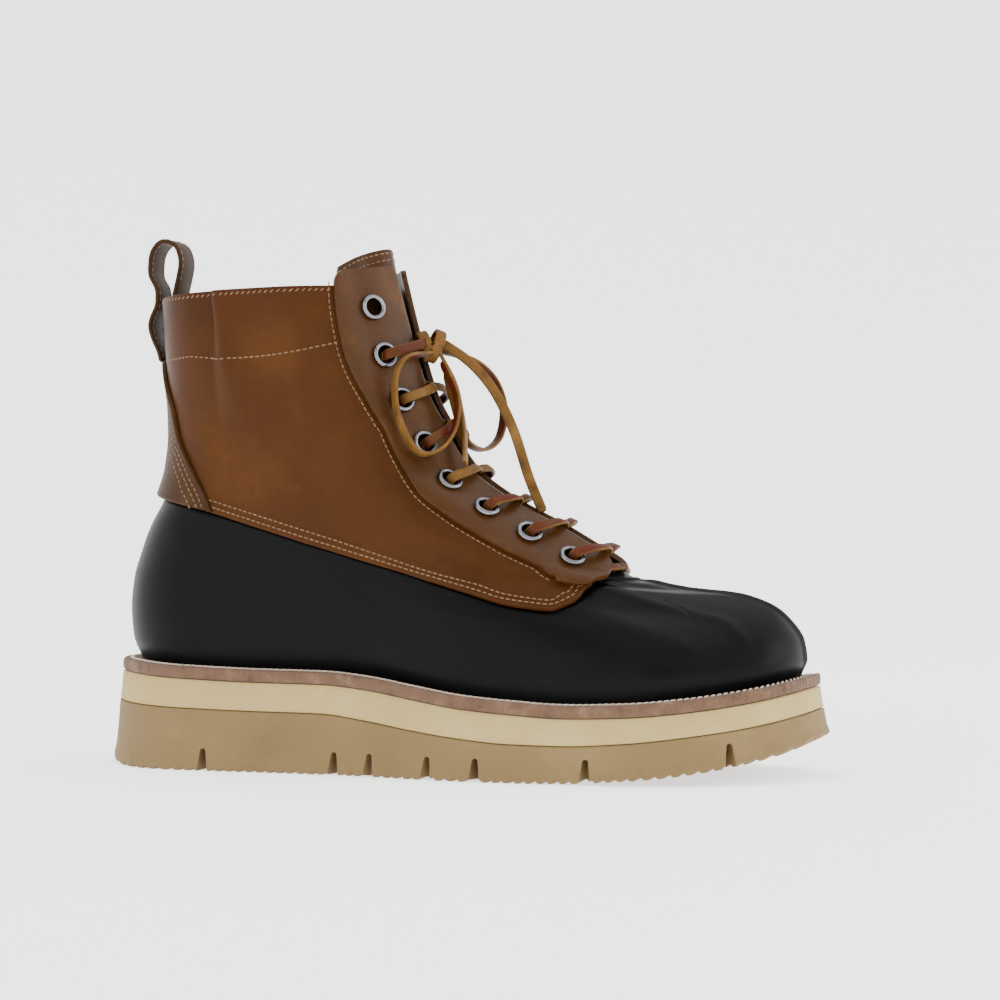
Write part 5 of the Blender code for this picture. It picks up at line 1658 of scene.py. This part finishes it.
    def knot(self) -> None:
        """Knot: two turns of the strip round the ends' crossing."""
        centre = self.knot_centre()
        view = unit(np.array([0.55, -0.83, 0.0]))
        parts = []
        for shift, lean, size in ((-0.0020, 0.40, 0.0052), (0.0026, -0.30, 0.0045)):
            angle = np.linspace(0.0, 2 * math.pi, 40)
            level = unit(np.cross(view, [0.0, 0.0, 1.0]))
            axis = unit(level + np.array([0.0, 0.0, lean]))
            up = np.cross(axis, view)
            path = (centre + level * shift + np.outer(np.cos(angle), view) * size
                    + np.outer(np.sin(angle), up) * size * 1.25)
            outs = path - (centre + level * shift)
            ribbon("turn", path, np.tile(axis, (len(path), 1)), self.width * 1.1, self.thickness, outs,
                   np.zeros(len(path)), parts)
        dress(toned("lace_knot_turns", parts), LACE_HIDE, ("lace_knot",), 50.0)

    def build(self) -> None:
        """Build the cords first, then the crossings."""
        self.cords()
        self.knot()
        parts = []
        for first in (1, -1):
            path, across, outs, red = self.half(first)
            rows = smooth_line(np.column_stack([path, across, outs, red]), 420, 2)
            ribbon("half", rows[:, :3], rows[:, 3:6], self.strap_width, self.thickness, rows[:, 6:9],
                   np.round(rows[:, 9]), parts)
        dress(toned("lace_straps", parts), LACE_HIDE, ("lace_crossings",), 50.0)


@dataclass
class Studio:
    """White studio: floor, soft lights, a pale world and the camera."""

    turn: float = 17.0
    distance: float = 1.15
    aside: float = 0.0163
    height: float = 0.113
    lens: float = 98.03
    flat: float = 2.3

    def camera(self) -> None:
        """Camera level with the boot's middle, turned a little to the toe."""
        data = bpy.data.cameras.new("camera")
        data.lens, data.sensor_width = self.lens, 36.0
        camera = bpy.data.objects.new("camera", data)
        bpy.context.collection.objects.link(camera)
        angle = math.radians(self.turn)
        camera.location = (math.sin(angle) * self.distance + math.cos(angle) * self.aside,
                           -math.cos(angle) * self.distance + math.sin(angle) * self.aside, self.height)
        camera.rotation_euler = (math.pi / 2, 0.0, angle)
        bpy.context.scene.camera = camera

    def build(self) -> None:
        """Floor, lights and world."""
        nothing_selected()
        bpy.ops.mesh.primitive_grid_add(x_subdivisions=90, y_subdivisions=90, size=11.0)
        floor = bpy.context.object
        for corner in floor.data.vertices:
            away = math.hypot(corner.co.x, corner.co.y)
            corner.co.z = 0.45 * max(0.0, away - self.flat)**1.7
        bpy.ops.object.shade_smooth()
        floor.name = "studio_floor"
        floor.data.materials.append(FLOOR_PAINT.material())
        self.area("top_light", (0.0, 0.3, 3.2), 140.0, 4.5)
        self.area("key_light", (-0.9, -1.6, 1.5), 12.0, 1.2)
        self.area("toe_light", (1.7, 0.2, 1.1), 14.0, 1.0)
        world = bpy.data.worlds.new("studio_air")
        world.use_nodes = True
        air = world.node_tree.nodes["Background"]
        air.inputs["Color"].default_value = linear("#ffffff")
        air.inputs["Strength"].default_value = 0.35
        bpy.context.scene.world = world

    def area(self, name: str, place: tuple[float, float, float], power: float, size: float) -> None:
        """Add a square soft light that looks at the boot.

        Args:
            name: Name of the light.
            place: Its place.
            power: Its power in watts.
            size: Side of the square.
        """
        data = bpy.data.lights.new(name, "AREA")
        data.energy, data.size = power, size
        light = bpy.data.objects.new(name, data)
        bpy.context.collection.objects.link(light)
        light.location = place
        aim = Vector((0.0, 0.0, 0.08)) - Vector(place)
        light.rotation_euler = aim.to_track_quat("-Z", "Y").to_euler()


def main() -> None:
    """Build the boot piece by piece and report each one."""
    logging.basicConfig(level=logging.INFO, format="%(name)s: %(message)s")
    studio = Studio()
    studio.camera()
    for part in (Laces(), Sole(), RubberShell(), LeatherShaft(), Backstay(), Eyestays(), Tongue(), PullLoop()):
        LOG.info("building %s", type(part).__name__)
        part.build()
    studio.build()


if __name__ == "__main__":
    main()
